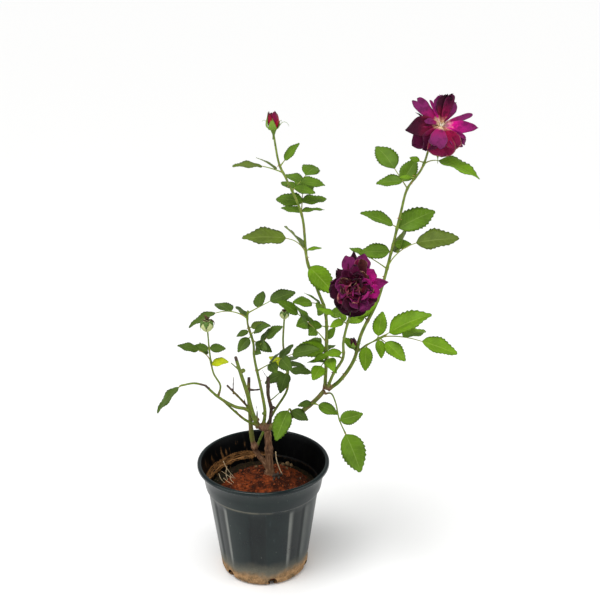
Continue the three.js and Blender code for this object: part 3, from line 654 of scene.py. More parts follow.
class Finish:
    """A material: constants and patterns on its surface shader."""

    def __init__(self, name, gloss=0.3, sheen=0):
        self.material = bpy.data.materials.new(name)
        self.material.use_nodes = True
        self.nodes = self.material.node_tree.nodes
        self.links = self.material.node_tree.links
        self.surface = self.nodes["Principled BSDF"]
        self.feed(self.surface, "Specular IOR Level", gloss)
        self.feed(self.surface, "Sheen Weight", sheen)

    def feed(self, node, socket, value):
        if isinstance(value, Value):
            self.links.new(value.socket, node.inputs[socket])
        else:
            node.inputs[socket].default_value = value

    def node(self, kind, settings=None, inputs=None, output=0):
        """Adds a node: its settings first, then the values or links of its sockets."""
        made = self.nodes.new(kind)
        for name, value in (settings or {}).items():
            if name == "stops":
                for _ in range(len(value) - 2):
                    made.color_ramp.elements.new(0.5)
                for element, (position, color) in zip(made.color_ramp.elements, value):
                    element.position, element.color = position, color
            else:
                setattr(made, name, value)
        for socket, value in (inputs or {}).items():
            self.feed(made, socket, value)
        return Value(self, made.outputs[output])

    def show(self, **patterns):
        """Patterns for the surface's sockets: base_color, roughness, normal."""
        for socket, value in patterns.items():
            self.feed(self.surface, socket.replace("_", " ").title(), value)
        return self.material

    def object_place(self, scale=(1, 1, 1)):
        place = self.node("ShaderNodeTexCoord", output="Object")
        return self.node("ShaderNodeMapping", inputs={"Vector": place, "Scale": scale})

    def attribute(self, name, output="Fac"):
        return self.node("ShaderNodeAttribute", {"attribute_name": name}, output=output)

    def parts(self, vector):
        """The three numbers of a vector."""
        split = self.node("ShaderNodeSeparateXYZ", inputs={0: vector})
        return [Value(self, output) for output in split.socket.node.outputs]

    def surface_place(self):
        """Across and along on the surface's own map."""
        across, along, _ = self.parts(self.node("ShaderNodeUVMap", {"uv_map": "surface"}))
        return across, along

    def noise(self, vector, scale, detail=3, roughness=0.55):
        return self.node("ShaderNodeTexNoise", {"normalize": True}, {
            "Vector": vector, "Scale": scale, "Detail": detail, "Roughness": roughness})

    def cells(self, vector, scale):
        return self.node("ShaderNodeTexVoronoi", {"feature": "F1"}, {"Vector": vector, "Scale": scale})

    def ramp(self, value, stops):
        return self.node("ShaderNodeValToRGB", {"stops": stops}, {"Fac": value}, output="Color")

    def mix(self, share, a, b):
        return self.node("ShaderNodeMix", {"data_type": "RGBA"}, {0: share, 6: a, 7: b}, output=2)

    def bump(self, height, strength, distance):
        inputs = {"Height": height, "Strength": strength, "Distance": distance}
        return self.node("ShaderNodeBump", inputs=inputs, output="Normal")


def shaded(color, share):
    """The same colour, darker."""
    return (*[c * share for c in color[:3]], 1)


def leaf_finish(name, color, rib, underside=False):
    """A leaf's skin: side veins off a pale midrib, a little mottling, and a soft gloss on top."""
    finish = Finish(name, gloss=0.08 if underside else 0.16)
    across, along = finish.surface_place()
    out = abs(across - 0.5) * 2
    midrib = 1 - out.swell(0.01, 0.06)
    slant = (along - out * 0.2) * 9
    vein = 1 - (abs(slant % 1 - 0.5) * 2).swell(0.03, 0.22)
    mottle = finish.noise(finish.object_place(), 55, 3)
    body = finish.mix(mottle.swell(0.35, 0.68), paint(color), shaded(paint(color), 0.72))
    lined = finish.mix(midrib * 0.45 + vein * 0.12, body, paint(rib))
    lift = vein * 0.5 + midrib
    relief = finish.bump(lift if underside else 1 - lift, 0.5, 0.0007)
    matt = 0.62 if underside else 0.42
    return finish.show(base_color=lined, roughness=mottle * 0.2 + matt, normal=relief)


LEAF_TINTS = ["fresh", "mid", "dark", "olive", "yellow"]


def leaf_finishes():
    """The tints that sprays are dealt, upper sides first and then undersides: blade and midrib of each."""
    tops = {"fresh": ("#6a9210", "#9ab44a"), "mid": ("#587a14", "#86a048"), "dark": ("#465f18", "#748a44"),
            "olive": ("#5c7020", "#8a9850"), "yellow": ("#b9c60e", "#d4d850")}
    unders = {"fresh": ("#7e9c46", "#a2b86c"), "mid": ("#6e8a40", "#98aa70"), "dark": ("#5f7434", "#8a9c64"),
              "olive": ("#748444", "#9aa674"), "yellow": ("#bcc43c", "#d6d878")}
    return ([leaf_finish(f"leaf_{tint}", *tops[tint]) for tint in LEAF_TINTS]
            + [leaf_finish(f"leaf_{tint}_under", *unders[tint], underside=True) for tint in LEAF_TINTS])


def petal_finish(name, claw, throat, body, edge, rim=None):
    """A petal's velvet: pale at its claw, bright in the throat, deep over the blade, fine veins along it."""
    finish = Finish(name, gloss=0.07, sheen=0.08)
    across, along = finish.surface_place()
    place = finish.object_place()
    cloud = finish.noise(place, 90, 2)
    reach = along + (cloud - 0.5) * 0.3
    color = finish.ramp(reach, [(0.0, paint(claw)), (0.07, paint(claw)), (0.18, paint(throat)),
                                (0.5, paint(body)), (0.95, paint(edge))])
    fan = abs((across - 0.5) * 34 % 1 - 0.5) * 2
    veined = finish.mix(fan.swell(0.2, 0.9) * 0.16, color, paint(edge))
    bruises = finish.noise(place, 130, 3).swell(0.48, 0.68) * 0.6
    bruised = finish.mix(bruises, veined, shaded(paint(body), 0.35))
    side = abs(across - 0.5) * 2
    dried = (side ** 6 + along ** 9 + (cloud - 0.5) * 1.1).swell(0.62, 1.0) * along.swell(0.3, 0.6)
    color = bruised if rim is None else finish.mix(dried * 0.8, bruised, paint(rim))
    relief = finish.bump(fan * 0.4 + finish.noise(place, 300, 3) * 2, 0.45, 0.0006)
    return finish.show(base_color=color, roughness=cloud * 0.2 + 0.5, normal=relief)


def petal_finishes():
    """One for each of PETAL_TINTS, in the same order."""
    return [
        petal_finish("petal_velvet", "#c88c6c", "#780630", "#3c0722", "#2a031a"),
        petal_finish("petal_plum", "#dcae8a", "#8a0640", "#580632", "#4c0a34"),
        petal_finish("petal_mauve", "#e6c8a0", "#9c0858", "#7e2260", "#6c1e52"),
        petal_finish("petal_magenta", "#f0c8b8", "#d80a88", "#8c1464", "#6e1a50"),
        petal_finish("petal_hot", "#f0c8b8", "#e0089a", "#b80c7c", "#84185e"),
        petal_finish("petal_crimson", "#d8a47c", "#a0063c", "#84093c", "#6c123c", "#b07064"),
        petal_finish("petal_dried", "#9a6a50", "#7c0c3c", "#46101f", "#50241e", "#b08c6c"),
        petal_finish("petal_ruby", "#d8a47c", "#b0082c", "#9c082c", "#680820"),
    ]


def wood_finish():
    """Bark by the stems' own numbers: brown and fissured where old, green where young, grey where dead."""
    finish = Finish("stem_bark", gloss=0.3)
    grain = finish.attribute("grain", "Vector")
    bark = finish.attribute("bark")
    dead = finish.attribute("dead")
    drawn_out = finish.node("ShaderNodeMapping", inputs={"Vector": grain, "Scale": (1, 1, 0.22)})
    streak = finish.noise(drawn_out, 420, 4)
    blotch = finish.noise(grain, 110, 3)
    brown = finish.ramp(streak, [(0.3, paint("#3a261a")), (0.5, paint("#6e4e35")), (0.75, paint("#97765a"))])
    brown = finish.mix(blotch.swell(0.5, 0.7) * 0.5, brown, paint("#4c2c20"))
    green = finish.ramp(blotch, [(0.3, paint("#4a5c16")), (0.55, paint("#6c8026")), (0.8, paint("#8b9a48"))])
    tan = finish.mix((blotch + streak).swell(1.02, 1.22) * 0.75, green, paint("#5f4b2b"))
    grey = finish.ramp(streak, [(0.3, paint("#2a201b")), (0.55, paint("#4f3e33")), (0.8, paint("#80705f"))])
    living = finish.mix((bark + (blotch - 0.5) * 0.5).swell(0.3, 0.7), tan, brown)
    color = finish.mix((dead + (blotch - 0.5) * 0.4).swell(0.35, 0.65), living, grey)
    relief = finish.bump(streak * (bark * 0.8 + 0.2), 0.7, 0.0008)
    return finish.show(base_color=color, roughness=bark * 0.3 + 0.5, normal=relief)


def stalk_finish():
    """Yellow-green leaf stalks, browner in patches."""
    finish = Finish("leaf_stalk", gloss=0.35)
    blotch = finish.noise(finish.object_place(), 160, 2)
    color = finish.mix(blotch.swell(0.35, 0.7), paint("#7d9434"), paint("#8a7a3c"))
    return finish.show(base_color=color, roughness=blotch * 0.2 + 0.4)


def prickle_finish():
    """Horn that pales towards the point."""
    finish = Finish("prickle_horn", gloss=0.4)
    _, along = finish.surface_place()
    blotch = finish.noise(finish.object_place(), 600, 2)
    color = finish.mix((along * 0.3 + blotch * 0.5).swell(0.1, 0.9), paint("#7c4a2c"), paint("#b08a5a"))
    return finish.show(base_color=color, roughness=blotch * 0.2 + 0.35)


def calyx_finish(name, young, old):
    """Green fruit or sepal skin with a browner blush towards its tip."""
    finish = Finish(name, gloss=0.35)
    _, along = finish.surface_place()
    blotch = finish.noise(finish.object_place(), 260, 3)
    color = finish.mix((along + (blotch - 0.5) * 0.9).swell(0.45, 1.05), paint(young), paint(old))
    relief = finish.bump(blotch, 0.3, 0.0006)
    return finish.show(base_color=color, roughness=blotch * 0.2 + 0.45, normal=relief)


def stamen_finish():
    """Pale threads with ochre pollen at their ends."""
    finish = Finish("stamen_pollen", gloss=0.2)
    _, along = finish.surface_place()
    grains = finish.noise(finish.object_place(), 900, 2)
    color = finish.mix(along.swell(4, 6), paint("#e9d9b8"), paint("#d8a83a"))
    color = finish.mix(grains * 0.3, color, paint("#8a5a1e"))
    return finish.show(base_color=color, roughness=grains * 0.2 + 0.6)


def pot_finish():
    """Blue-black plastic: painted shade in the recesses, painted highlight bands along their edges, dust
    under the step, dried mud round the foot.
    """
    finish = Finish("pot_plastic", gloss=0.26)
    step, lip = POT["step"] * MM, (POT["height"] - POT["lip_height"]) * MM
    place = finish.object_place()
    x, y, z = finish.parts(place)
    cloud = finish.noise(place, 26, 4)
    fine = finish.noise(place, 380, 3, 0.7)
    rubbed = finish.noise(finish.object_place((1, 1, 0.08)), 260, 3)
    plastic = finish.ramp(cloud, [(0.3, paint("#0a1517")), (0.7, paint("#13201f"))])
    plastic = finish.mix(rubbed.swell(0.6, 0.8) * 0.3, plastic, paint("#36444a"))
    turn = finish.node("ShaderNodeMath", {"operation": "ARCTAN2"}, {0: x, 1: y * -1})
    sector, half = 2 * math.pi / POT["panels"], math.radians(POT["panel_half"])
    from_first = abs(turn - math.radians(POT["panel_angle"]))
    across = (from_first + sector / 2) % sector - sector / 2
    on_body = z.swell(0.022, 0.05) * (1 - z.swell(step - 0.012, step - 0.003))
    # Painted shade: the recesses are darkened towards near-black where shade falls in them.
    recess = across.swell(-half - 0.01, -half + 0.01) * (1 - across.swell(half - 0.01, half + 0.01))
    # Painted highlight: pale bands where the recess edges and the side panels catch the light, broken up by
    # noise.
    near_band = across.swell(-half - 0.055, -half - 0.02) * (1 - across.swell(-half - 0.015, -half + 0.09))
    far_band = across.swell(half - 0.02, half + 0.02) * (1 - across.swell(half + 0.04, half + 0.2))
    recess_edge_highlight = (near_band + far_band * 0.4) * from_first.swell(0.3, 0.5) * (cloud * 0.5 + 0.18)
    plastic = finish.mix(recess * on_body * 0.45, plastic, paint("#020405"))
    plastic = finish.mix(recess_edge_highlight * on_body, plastic, paint("#8f918b"))
    scratch = finish.noise(finish.object_place((1, 1, 0.25)), 620, 2).swell(0.7, 0.76)
    plastic = finish.mix(scratch * cloud.swell(0.5, 0.6) * 0.35, plastic, paint("#8f9690"))
    step_dust = (1 - abs(z - (step - 0.0012)).swell(0.0006, 0.0034)) * cloud.swell(0.36, 0.6)
    lip_dust = (1 - abs(z - (lip - 0.0015)).swell(0.0004, 0.0022)) * cloud.swell(0.5, 0.62)
    film = (1 - (z + (cloud - 0.5) * 0.03).swell(0.018, 0.047)) * (fine * 0.7 + 0.35)
    dust = finish.mix(step_dust * 0.6 + lip_dust * 0.6 + film * 0.75, plastic, paint("#7f7a69"))
    splash = z + (cloud - 0.5) * 0.024 + (fine - 0.5) * 0.016 - x.swell(0.01, 0.045) * 0.008
    mud = 1 - splash.swell(0.01, 0.026)
    caked = finish.noise(place, 110, 4)
    mud_color = finish.ramp(caked * 0.6 + fine * 0.4, [(0.38, paint("#5b4c34")), (0.48, paint("#8c6c48")),
                                                       (0.6, paint("#b0895f"))])
    color = finish.mix(mud * 0.9, dust, mud_color)
    rough = mud * 0.45 + (step_dust + film) * 0.35 + cloud * 0.16 + 0.22 - z.swell(lip - 0.005, lip) * 0.1
    relief = finish.bump(fine * (mud + 0.1), 0.35, 0.0007)
    return finish.show(base_color=color, roughness=rough, normal=relief)


def pot_inside_finish():
    """The same plastic inside, with ochre silt in a ring and in runs down the wall, heaviest at the left."""
    finish = Finish("pot_inside", gloss=0.07)
    edge = SOIL["edge"] * MM
    place = finish.object_place()
    x, _, z = finish.parts(place)
    cloud = finish.noise(place, 30, 4)
    runs = finish.noise(finish.object_place((1, 1, 0.12)), 150, 4, 0.65)
    fine = finish.noise(place, 420, 3, 0.7)
    plastic = finish.mix(runs.swell(0.5, 0.75) * 0.3, paint("#030405"), paint("#23251f"))
    leftward = (x * -9 + 0.4).swell(0.1, 0.9)
    height = z + (cloud - 0.5) * 0.007 + (runs - 0.5) * 0.006
    over = 1 - (height - leftward * 0.0095).swell(edge + 0.004, edge + 0.0075)
    band = height.swell(edge + 0.0005, edge + 0.0025) * over
    lines = finish.noise(finish.object_place((0.5, 0.5, 7)), 150, 2).swell(0.5, 0.6)
    splashed = (1 - (z - leftward * 0.022).swell(edge + 0.004, edge + 0.022)) * runs.swell(0.48, 0.68)
    caked = band * (fine * 0.9 + 0.4) * (1 - lines * 0.8) * (leftward * 0.8 + 0.25)
    silt = caked + splashed * (leftward * 0.5 + 0.05)
    color = finish.mix(silt.swell(0.15, 0.8), plastic, finish.ramp(fine, [
        (0.3, paint("#583a20")), (0.7, paint("#a87848"))]))
    relief = finish.bump(silt * fine, 0.5, 0.001)
    return finish.show(base_color=color, roughness=silt * 0.4 + 0.42, normal=relief)


def soil_finish():
    """Red crumb: damp dark hollows, dry orange tops, pale grit, and dark moss between it and the wall."""
    finish = Finish("soil_laterite", gloss=0.12)
    place = finish.object_place()
    crumb = finish.noise(place, 230, 5, 0.72)
    cloud = finish.noise(place, 38, 3)
    grit = finish.cells(place, 420)
    red = finish.ramp(crumb, [(0.3, paint("#200c05")), (0.44, paint("#522410")), (0.58, paint("#853b18")),
                              (0.78, paint("#b0683c"))])
    damp = finish.mix(cloud.swell(0.49, 0.6) * 0.8, red, paint("#200d07"))
    flecks = (1 - grit.swell(0.1, 0.16)) * finish.noise(place, 75, 2).swell(0.52, 0.6)
    gritty = finish.mix(flecks * 0.8, damp, paint("#c9b199"))
    x, y, _ = finish.parts(place)
    middle_x, middle_y = (part * MM for part in SOIL["crown"])
    reach = ((x - middle_x) ** 2 + (y - middle_y) ** 2) ** 0.5
    frayed = reach + (cloud - 0.5) * 0.024 + (crumb - 0.5) * 0.012
    mossy = frayed.swell(SOIL["moss"] * MM, (SOIL["moss"] + 5) * MM)
    moss = finish.ramp(crumb, [(0.3, paint("#070905")), (0.55, paint("#171b0d")), (0.7, paint("#2e3019")),
                               (0.85, paint("#6f5c38"))])
    color = finish.mix(mossy * 0.94, gritty, moss)
    relief = finish.bump(crumb + flecks * 0.3, 1.0, 0.0022)
    return finish.show(base_color=color, roughness=crumb * 0.15 + 0.8, normal=relief)


def litter_finish(name, dark, light):
    """A dry, blotched finish between two colours."""
    finish = Finish(name, gloss=0.25)
    blotch = finish.noise(finish.object_place(), 300, 4)
    color = finish.ramp(blotch, [(0.3, paint(dark)), (0.7, paint(light))])
    relief = finish.bump(blotch, 0.4, 0.0006)
    return finish.show(base_color=color, roughness=blotch * 0.2 + 0.65, normal=relief)


# ---- Pot and soil --------------------------------------------------------------------------------------

def turned(name, profile, sides):
    """A round piece drawn up ring by ring from its flat foot: the last face is lifted and resized."""
    bpy.ops.object.select_all(action="DESELECT")
    radius, height = profile[0]
    bpy.ops.mesh.primitive_circle_add(vertices=sides, radius=radius * MM, fill_type="NGON",
                                      location=(0, 0, height * MM))
    piece = bpy.context.object
    piece.name = piece.data.name = name
    bpy.ops.object.mode_set(mode="EDIT")
    bpy.ops.mesh.select_all(action="SELECT")
    for (from_radius, from_height), (to_radius, to_height) in zip(profile, profile[1:]):
        rise = (to_height - from_height) * MM
        bpy.ops.mesh.extrude_region_move(TRANSFORM_OT_translate={"value": (0, 0, rise)})
        scale = to_radius / from_radius
        bpy.ops.transform.resize(value=(scale, scale, 1), center_override=(0, 0, to_height * MM))
    bpy.ops.mesh.select_all(action="SELECT")
    bpy.ops.mesh.normals_make_consistent(inside=False)
    bpy.ops.object.mode_set(mode="OBJECT")
    bpy.ops.object.transform_apply(location=True, rotation=True, scale=True)
    return piece


def apply_modifier(piece, kind, **settings):
    """Adds a modifier with its settings and applies it."""
    bpy.ops.object.select_all(action="DESELECT")
    bpy.context.view_layer.objects.active = piece
    piece.select_set(True)
    modifier = piece.modifiers.new(kind.lower(), kind)
    for name, value in settings.items():
        setattr(modifier, name, value)
    bpy.ops.object.modifier_apply(modifier=modifier.name)


def pot_profile():
    """The wall's section as radius and height: up the outside, over the rolled lip, and down the inside."""
    p = POT
    base, foot, body_top, wall = p["base"], p["body_foot"], p["body_top"], p["wall"]
    collar_foot, collar_top, lip = p["collar_foot"], p["collar_top"], p["lip"]
    step, lip_foot, top = p["step"], p["height"] - p["lip_height"], p["height"]
    rounded_foot = [(base - 4, 0.6), (base - 2, 0), (base + 1, 0.2), (base + 4, 1.4), (foot - 1.2, 4),
                    (foot - 0.3, 6.8)]
    body = [(lerp(foot, body_top, u), lerp(p["round"], step - 1.6, u)) for u in np.linspace(0, 1, 28)]
    collar = [
        (body_top + 0.6, step - 0.8), (collar_foot - 0.9, step - 0.3), (collar_foot - 0.1, step + 0.6),
        (collar_foot + 0.4, step + 2.4), (lerp(collar_foot, collar_top, 0.5), lerp(step, lip_foot, 0.5)),
        (collar_top - 0.3, lip_foot - 1.4), (collar_top + 0.6, lip_foot - 0.3),
    ]
    rolled_lip = [
        (lip - 2.4, lip_foot), (lip - 0.8, lip_foot + 0.7), (lip, lip_foot + 2.2), (lip, top - 2.4),
        (lip - 0.7, top - 0.8), (lip - 2.2, top), (lip - 4, top), (lip - 5.6, top - 0.8),
        (lip - 6.6, top - 2.6),
    ]
    inside = [
        (collar_top - wall - 0.3, lip_foot - 3), (collar_foot - wall + 1.2, step + 8),
        (collar_foot - wall, step + 1.6), (body_top - wall + 0.6, step + 0.3), (body_top - wall, step - 2),
        (foot - wall, p["round"]), (base - wall, wall),
    ]
    return rounded_foot + body + collar + rolled_lip + inside


def build_pot():
    """The turned shell with its recesses and drain holes, and its own finish inside."""
    pot = turned("pot_shell", pot_profile(), POT["sides"])
    press_panels(pot.data)
    drill_drains(pot)
    bpy.ops.object.shade_smooth_by_angle(angle=math.radians(40))
    pot.data.materials.append(pot_finish())
    pot.data.materials.append(pot_inside_finish())
    inside_reach, inside_foot, inside_top = POT["lip"] - 6, POT["wall"] + 2, POT["height"] - 1
    for face in pot.data.polygons:
        outward = Vector((face.center.x, face.center.y, 0))
        inner = face.normal.dot(outward) < 0 and outward.length < inside_reach * MM
        face.material_index = int(inner and inside_foot * MM < face.center.z < inside_top * MM)
    return settle(pot, "pot", ["pot"])


def press_panels(mesh):
    """Shallow upright recesses pressed into the body between its foot and the step."""
    p = POT
    spacing = 360 / p["panels"]
    inner_flank, outer_flank = p["panel_half"] - p["panel_flank"][0], p["panel_half"] + p["panel_flank"][1]
    for vertex in mesh.vertices:
        x, y, z = vertex.co / MM
        radius = math.hypot(x, y)
        wall = lerp(p["body_foot"], p["body_top"], (z - p["round"]) / (p["step"] - p["round"]))
        if not (p["round"] < z < p["step"] - 1 and radius > wall - 1):
            continue
        from_front = math.degrees(math.atan2(x, -y)) - p["panel_angle"]
        off_centre = abs((from_front + spacing / 2) % spacing - spacing / 2)
        flank = 1 - smooth(inner_flank, outer_flank, off_centre)
        ends = smooth(p["round"] + 2, p["round"] + 12, z) * (1 - smooth(p["step"] - 12, p["step"] - 3, z))
        scale = 1 - p["panel_depth"] * flank * ends / radius
        vertex.co.x *= scale
        vertex.co.y *= scale


def drill_drains(pot):
    """Drain holes through the rounded corner of the foot."""
    drills = []
    reach, height = POT["body_foot"] * MM, POT["drain_height"] * MM
    for i in range(POT["drain_holes"]):
        turn = math.radians(POT["drain_turn"] + i * 360 / POT["drain_holes"])
        bpy.ops.object.select_all(action="DESELECT")
        bpy.ops.mesh.primitive_cylinder_add(
            vertices=24, radius=POT["drain_radius"] * MM, depth=POT["drain_depth"] * MM,
            location=(reach * math.cos(turn), reach * math.sin(turn), height),
            rotation=(0, math.pi / 2, turn))
        drills.append(bpy.context.object)
    for drill in drills:
        apply_modifier(pot, "BOOLEAN", operation="DIFFERENCE", object=drill, solver="EXACT")
        bpy.data.objects.remove(drill)
    bpy.context.view_layer.objects.active = pot
    pot.select_set(True)


def from_crown(x, y):
    """How far a place in plan lies from the middle of the red crumb."""
    return math.hypot(x - SOIL["crown"][0], y - SOIL["crown"][1])


def soil_height(x, y):
    """The soil's surface: a shallow mound round the trunk, dipping a little towards the wall."""
    away = math.hypot(x - SOIL["middle"][0], y - SOIL["middle"][1])
    mound = 1 - smooth(SOIL["patch"] * 0.7, SOIL["spread"], away)
    rough = noise.fractal(Vector((x, y, 3)) * 0.09, 0.8, 2.0, 4) * 1.6
    clods = noise.noise(Vector((x, y, 9)) * 0.33) * SOIL["grain"]
    dip = SOIL["hollow"] * smooth(SOIL["moss"] - 6, SOIL["moss"] + 10, from_crown(x, y))
    uneven = (rough + clods) * (0.35 + 0.65 * smooth(10, 30, away))
    return SOIL["edge"] + (SOIL["mound"] - SOIL["edge"]) * mound + uneven - dip


def build_soil():
    """The soil as a turned plug inside the wall, with its top shaped by soil_height."""
    p = POT
    up_the_body = (SOIL["edge"] - p["round"]) / (p["step"] - p["round"])
    reach = lerp(p["body_foot"], p["body_top"], up_the_body) - p["wall"]
    rings = [(reach - 0.3 - k * 1.9, SOIL["edge"]) for k in range(43)]
    profile = [(p["base"] - p["wall"] - 3, p["wall"] + 0.4), (p["body_foot"] - p["wall"] - 0.8, p["round"]),
               *rings]
    soil = turned("soil_bed", profile, 160)
    for vertex in soil.data.vertices:
        x, y, z = vertex.co / MM
        if z > SOIL["edge"] - 1:
            vertex.co.z = soil_height(x, y) * MM
    bpy.ops.object.shade_smooth()
    soil.data.materials.append(soil_finish())
    return settle(soil, "soil", ["soil"])


def round_lump(centre, size, draw, spread=0.45):
    """A small lumpy stone or crumb: an icosahedron with each corner drawn in or out."""
    shape = bmesh.new()
    bmesh.ops.create_icosphere(shape, subdivisions=1, radius=1)
    turn = Quaternion((draw() - 0.5, draw() - 0.5, draw() - 0.5, draw() - 0.5)).normalized()
    points = []
    for vertex in shape.verts:
        stretched = Vector((vertex.co.x * 1.2, vertex.co.y, vertex.co.z * 0.7)) * (1 - spread * draw())
        points.append(Vector(centre) + turn @ stretched * size)
    faces = [tuple(v.index for v in face.verts) for face in shape.faces]
    shape.free()
    return points, faces, [(0, 0)] * len(points)


def build_litter():
    """Crumbs, grit, pebbles and dry rootlets lying on the soil."""
    draw = seeded(7)
    crumbs = Gathered("soil_crumbs", [litter_finish("crumb_red", "#4a1d0a", "#a85426"),
                                      litter_finish("crumb_dark", "#140a06", "#3c1c10"),
                                      litter_finish("grit_pale", "#8c7c6a", "#d2c3ae")])
    red, dark, grit = range(3)
    for _ in range(SOIL["crumbs"]):
        reach = SOIL["crumb_reach"] * math.sqrt(draw())
        turn = 2 * math.pi * draw()
        x, y = reach * math.cos(turn), reach * math.sin(turn)
        size = 0.5 + 1.7 * draw() ** 3
        kind = draw()
        tint = red
        if kind > 0.94:
            tint = grit
        elif kind > 0.72 or from_crown(x, y) > SOIL["moss"]:
            tint = dark
        lump = round_lump((x, y, soil_height(x, y) + size * 0.25), size * (0.6 if tint == grit else 1), draw)
        crumbs.add(*lump, tint)
    crumbs.build("soil")

    pebbles = Gathered("soil_pebbles", [litter_finish("pebble_brown", "#4d3826", "#8d7350"),
                                        litter_finish("mud_grey", "#1c1713", "#4a4038")])
    for x, y, size, tint in PEBBLES:
        pebbles.add(*round_lump((x, y, soil_height(x, y) + size * 0.2), size, draw, 0.25), tint)
    pebbles.build("soil")

    straws = Gathered("soil_rootlets", [litter_finish("rootlet_straw", "#b8946a", "#e8d8b6")])
    for thick, points in ROOTLETS:
        straws.add(*tube(Line(points), lambda u: thick * (1 - 0.4 * u), 6, 12))
    straws.build("soil")


# ---- Trunk, boughs and canes ---------------------------------------------------------------------------

class Limb:
    """A limb's line, its thickness along it, and how old and how dead its bark is."""

    def __init__(self, points, foot, tip, bark, joints=(), collar=0.3):
        self.line = Line(points)
        self.foot, self.tip, self.bark = foot, tip, bark
        self.joints = joints  # heights where leaves leave it
        self.collar = collar  # swelling where it leaves its bough, of its width

    def radius(self, u):
        swell = 1 + self.collar * math.exp(-u * self.line.length / LIMB_COLLAR)
        height = self.line.at(u).z
        away = [(height - joint) / LEAF_KNOT_REACH for joint in self.joints]
        return lerp(self.foot, self.tip, u) / 2 * swell + sum(LEAF_KNOT * math.exp(-a ** 2) for a in away)

    def age(self, u):
        """1 is brown bark and 0 green skin."""
        if self.bark == "weathered":
            return 1 - BARK["skin"] * smooth(BARK["brown_to"], BARK["skin_from"], self.line.at(u).z)
        if self.bark == "green":
            return BARK["foot_brown"] * math.exp(-u * self.line.length / BARK["foot_fade"])
        return 1.0

    def dead(self):
        return 1.0 if self.bark == "dead" else 0.0


class Trunk(Limb):
    """The trunk, flared at the soil and swollen in an old ring."""

    def __init__(self):
        points = [TRUNK["foot"], TRUNK["middle"], TRUNK["top"]]
        super().__init__(points, TRUNK["foot_width"], TRUNK["top_width"], "brown")

    def radius(self, u):
        from_ring = (self.line.at(u).z - TRUNK["ring"]) / TRUNK["ring_reach"]
        flare = TRUNK["flare"] * math.exp(-u * TRUNK["flare_fade"])
        return lerp(self.foot, self.tip, u) / 2 + flare + TRUNK["ring_swell"] * math.exp(-from_ring ** 2)


def all_limbs():
    """The trunk, the limbs, the masses' own shoots and the snags, each by its name."""
    leaf_heights = {}
    for on, _, rows in MASSES.values():
        if isinstance(on, str):
            leaf_heights.setdefault(on, []).extend(row["height"] for row in rows)
    limbs = {"trunk": Trunk()}
    for name, (points, foot, tip, bark) in LIMBS.items():
        limbs[name] = Limb(points, foot, tip, bark, leaf_heights.get(name, ()))
    for name, (on, _, rows) in MASSES.items():
        if not isinstance(on, str):
            foot, tip = SHOOT_WIDTHS[name]
            limbs[name] = Limb(on, foot, tip, "green", [row["height"] for row in rows])
    for index, (points, foot, tip, bark) in enumerate(SNAGS):
        limbs[f"snag_{index}"] = Limb(points, foot, tip, bark)
    return limbs


def stem_skin(limbs):
    """Every limb as a round tube, melted together so that each grows out of the next with a collar."""
    tubes = Gathered("stems", [])
    for limb in limbs.values():
        sides = 20 if limb.foot > 7 else 12
        tubes.add(*tube(limb.line, limb.radius, sides, max(6, int(limb.line.length / 3))))
    for centre, size, stretch in KNUCKLES:
        lump = bmesh.new()
        bmesh.ops.create_icosphere(lump, subdivisions=3, radius=size)
        bmesh.ops.scale(lump, vec=stretch, verts=lump.verts)
        points = [Vector(centre) + vertex.co for vertex in lump.verts]
        faces = [tuple(v.index for v in face.verts) for face in lump.faces]
        tubes.add(points, faces, [(0, 0)] * len(points))
        lump.free()
    mesh = bpy.data.meshes.new(tubes.name)
    mesh.from_pydata([p * MM for p in tubes.points], [], tubes.faces)
    skin = bpy.data.objects.new(tubes.name, mesh)
    bpy.context.collection.objects.link(skin)
    apply_modifier(skin, "REMESH", mode="VOXEL", voxel_size=BARK["voxel"] * MM)
    apply_modifier(skin, "SMOOTH", factor=0.5, iterations=3)
    return skin


def read_stems(skin, limbs):
    """For each point of the skin: its place along the nearest limb, and its bark's age and deadness."""
    count = len(skin.data.vertices)
    points = np.empty(count * 3)
    skin.data.vertices.foreach_get("co", points)
    points = points.reshape(-1, 3) / MM
    best = np.full(count, np.inf)
    grain = np.zeros((count, 3))
    weight, age, dead = (np.full(count, 1e-9) for _ in range(3))
    reach = 10  # no point of a limb's skin lies further from its line
    blend = 1.1  # how far one limb's bark fades into the next
    for limb in limbs.values():
        shares = np.linspace(0, 1, max(8, int(limb.line.length / 1.5)))
        sections = limb.line.sections(shares)
        centres = np.array([s[0] for s in sections])
        sides = np.array([s[2] for s in sections])
        ups = np.array([s[3] for s in sections])
        radii = np.array([limb.radius(u) for u in shares])
        boxed = (points > centres.min(0) - reach) & (points < centres.max(0) + reach)
        near = np.flatnonzero(np.all(boxed, axis=1))
        away = np.linalg.norm(points[near][:, None, :] - centres[None], axis=2) - radii[None]
        index = away.argmin(1)
        gap = away[np.arange(len(near)), index]
        pull = np.exp(-np.maximum(gap, 0) / blend)
        weight[near] += pull
        age[near] += pull * np.array([limb.age(u) for u in shares])[index]
        dead[near] += pull * limb.dead()
        closer = gap < best[near]
        chosen, at = near[closer], index[closer]
        best[chosen] = gap[closer]
        off = points[chosen] - centres[at]
        along = shares[at] * limb.line.length
        grain[chosen] = np.column_stack([(off * sides[at]).sum(1), (off * ups[at]).sum(1), along])
    return grain, age / weight, dead / weight


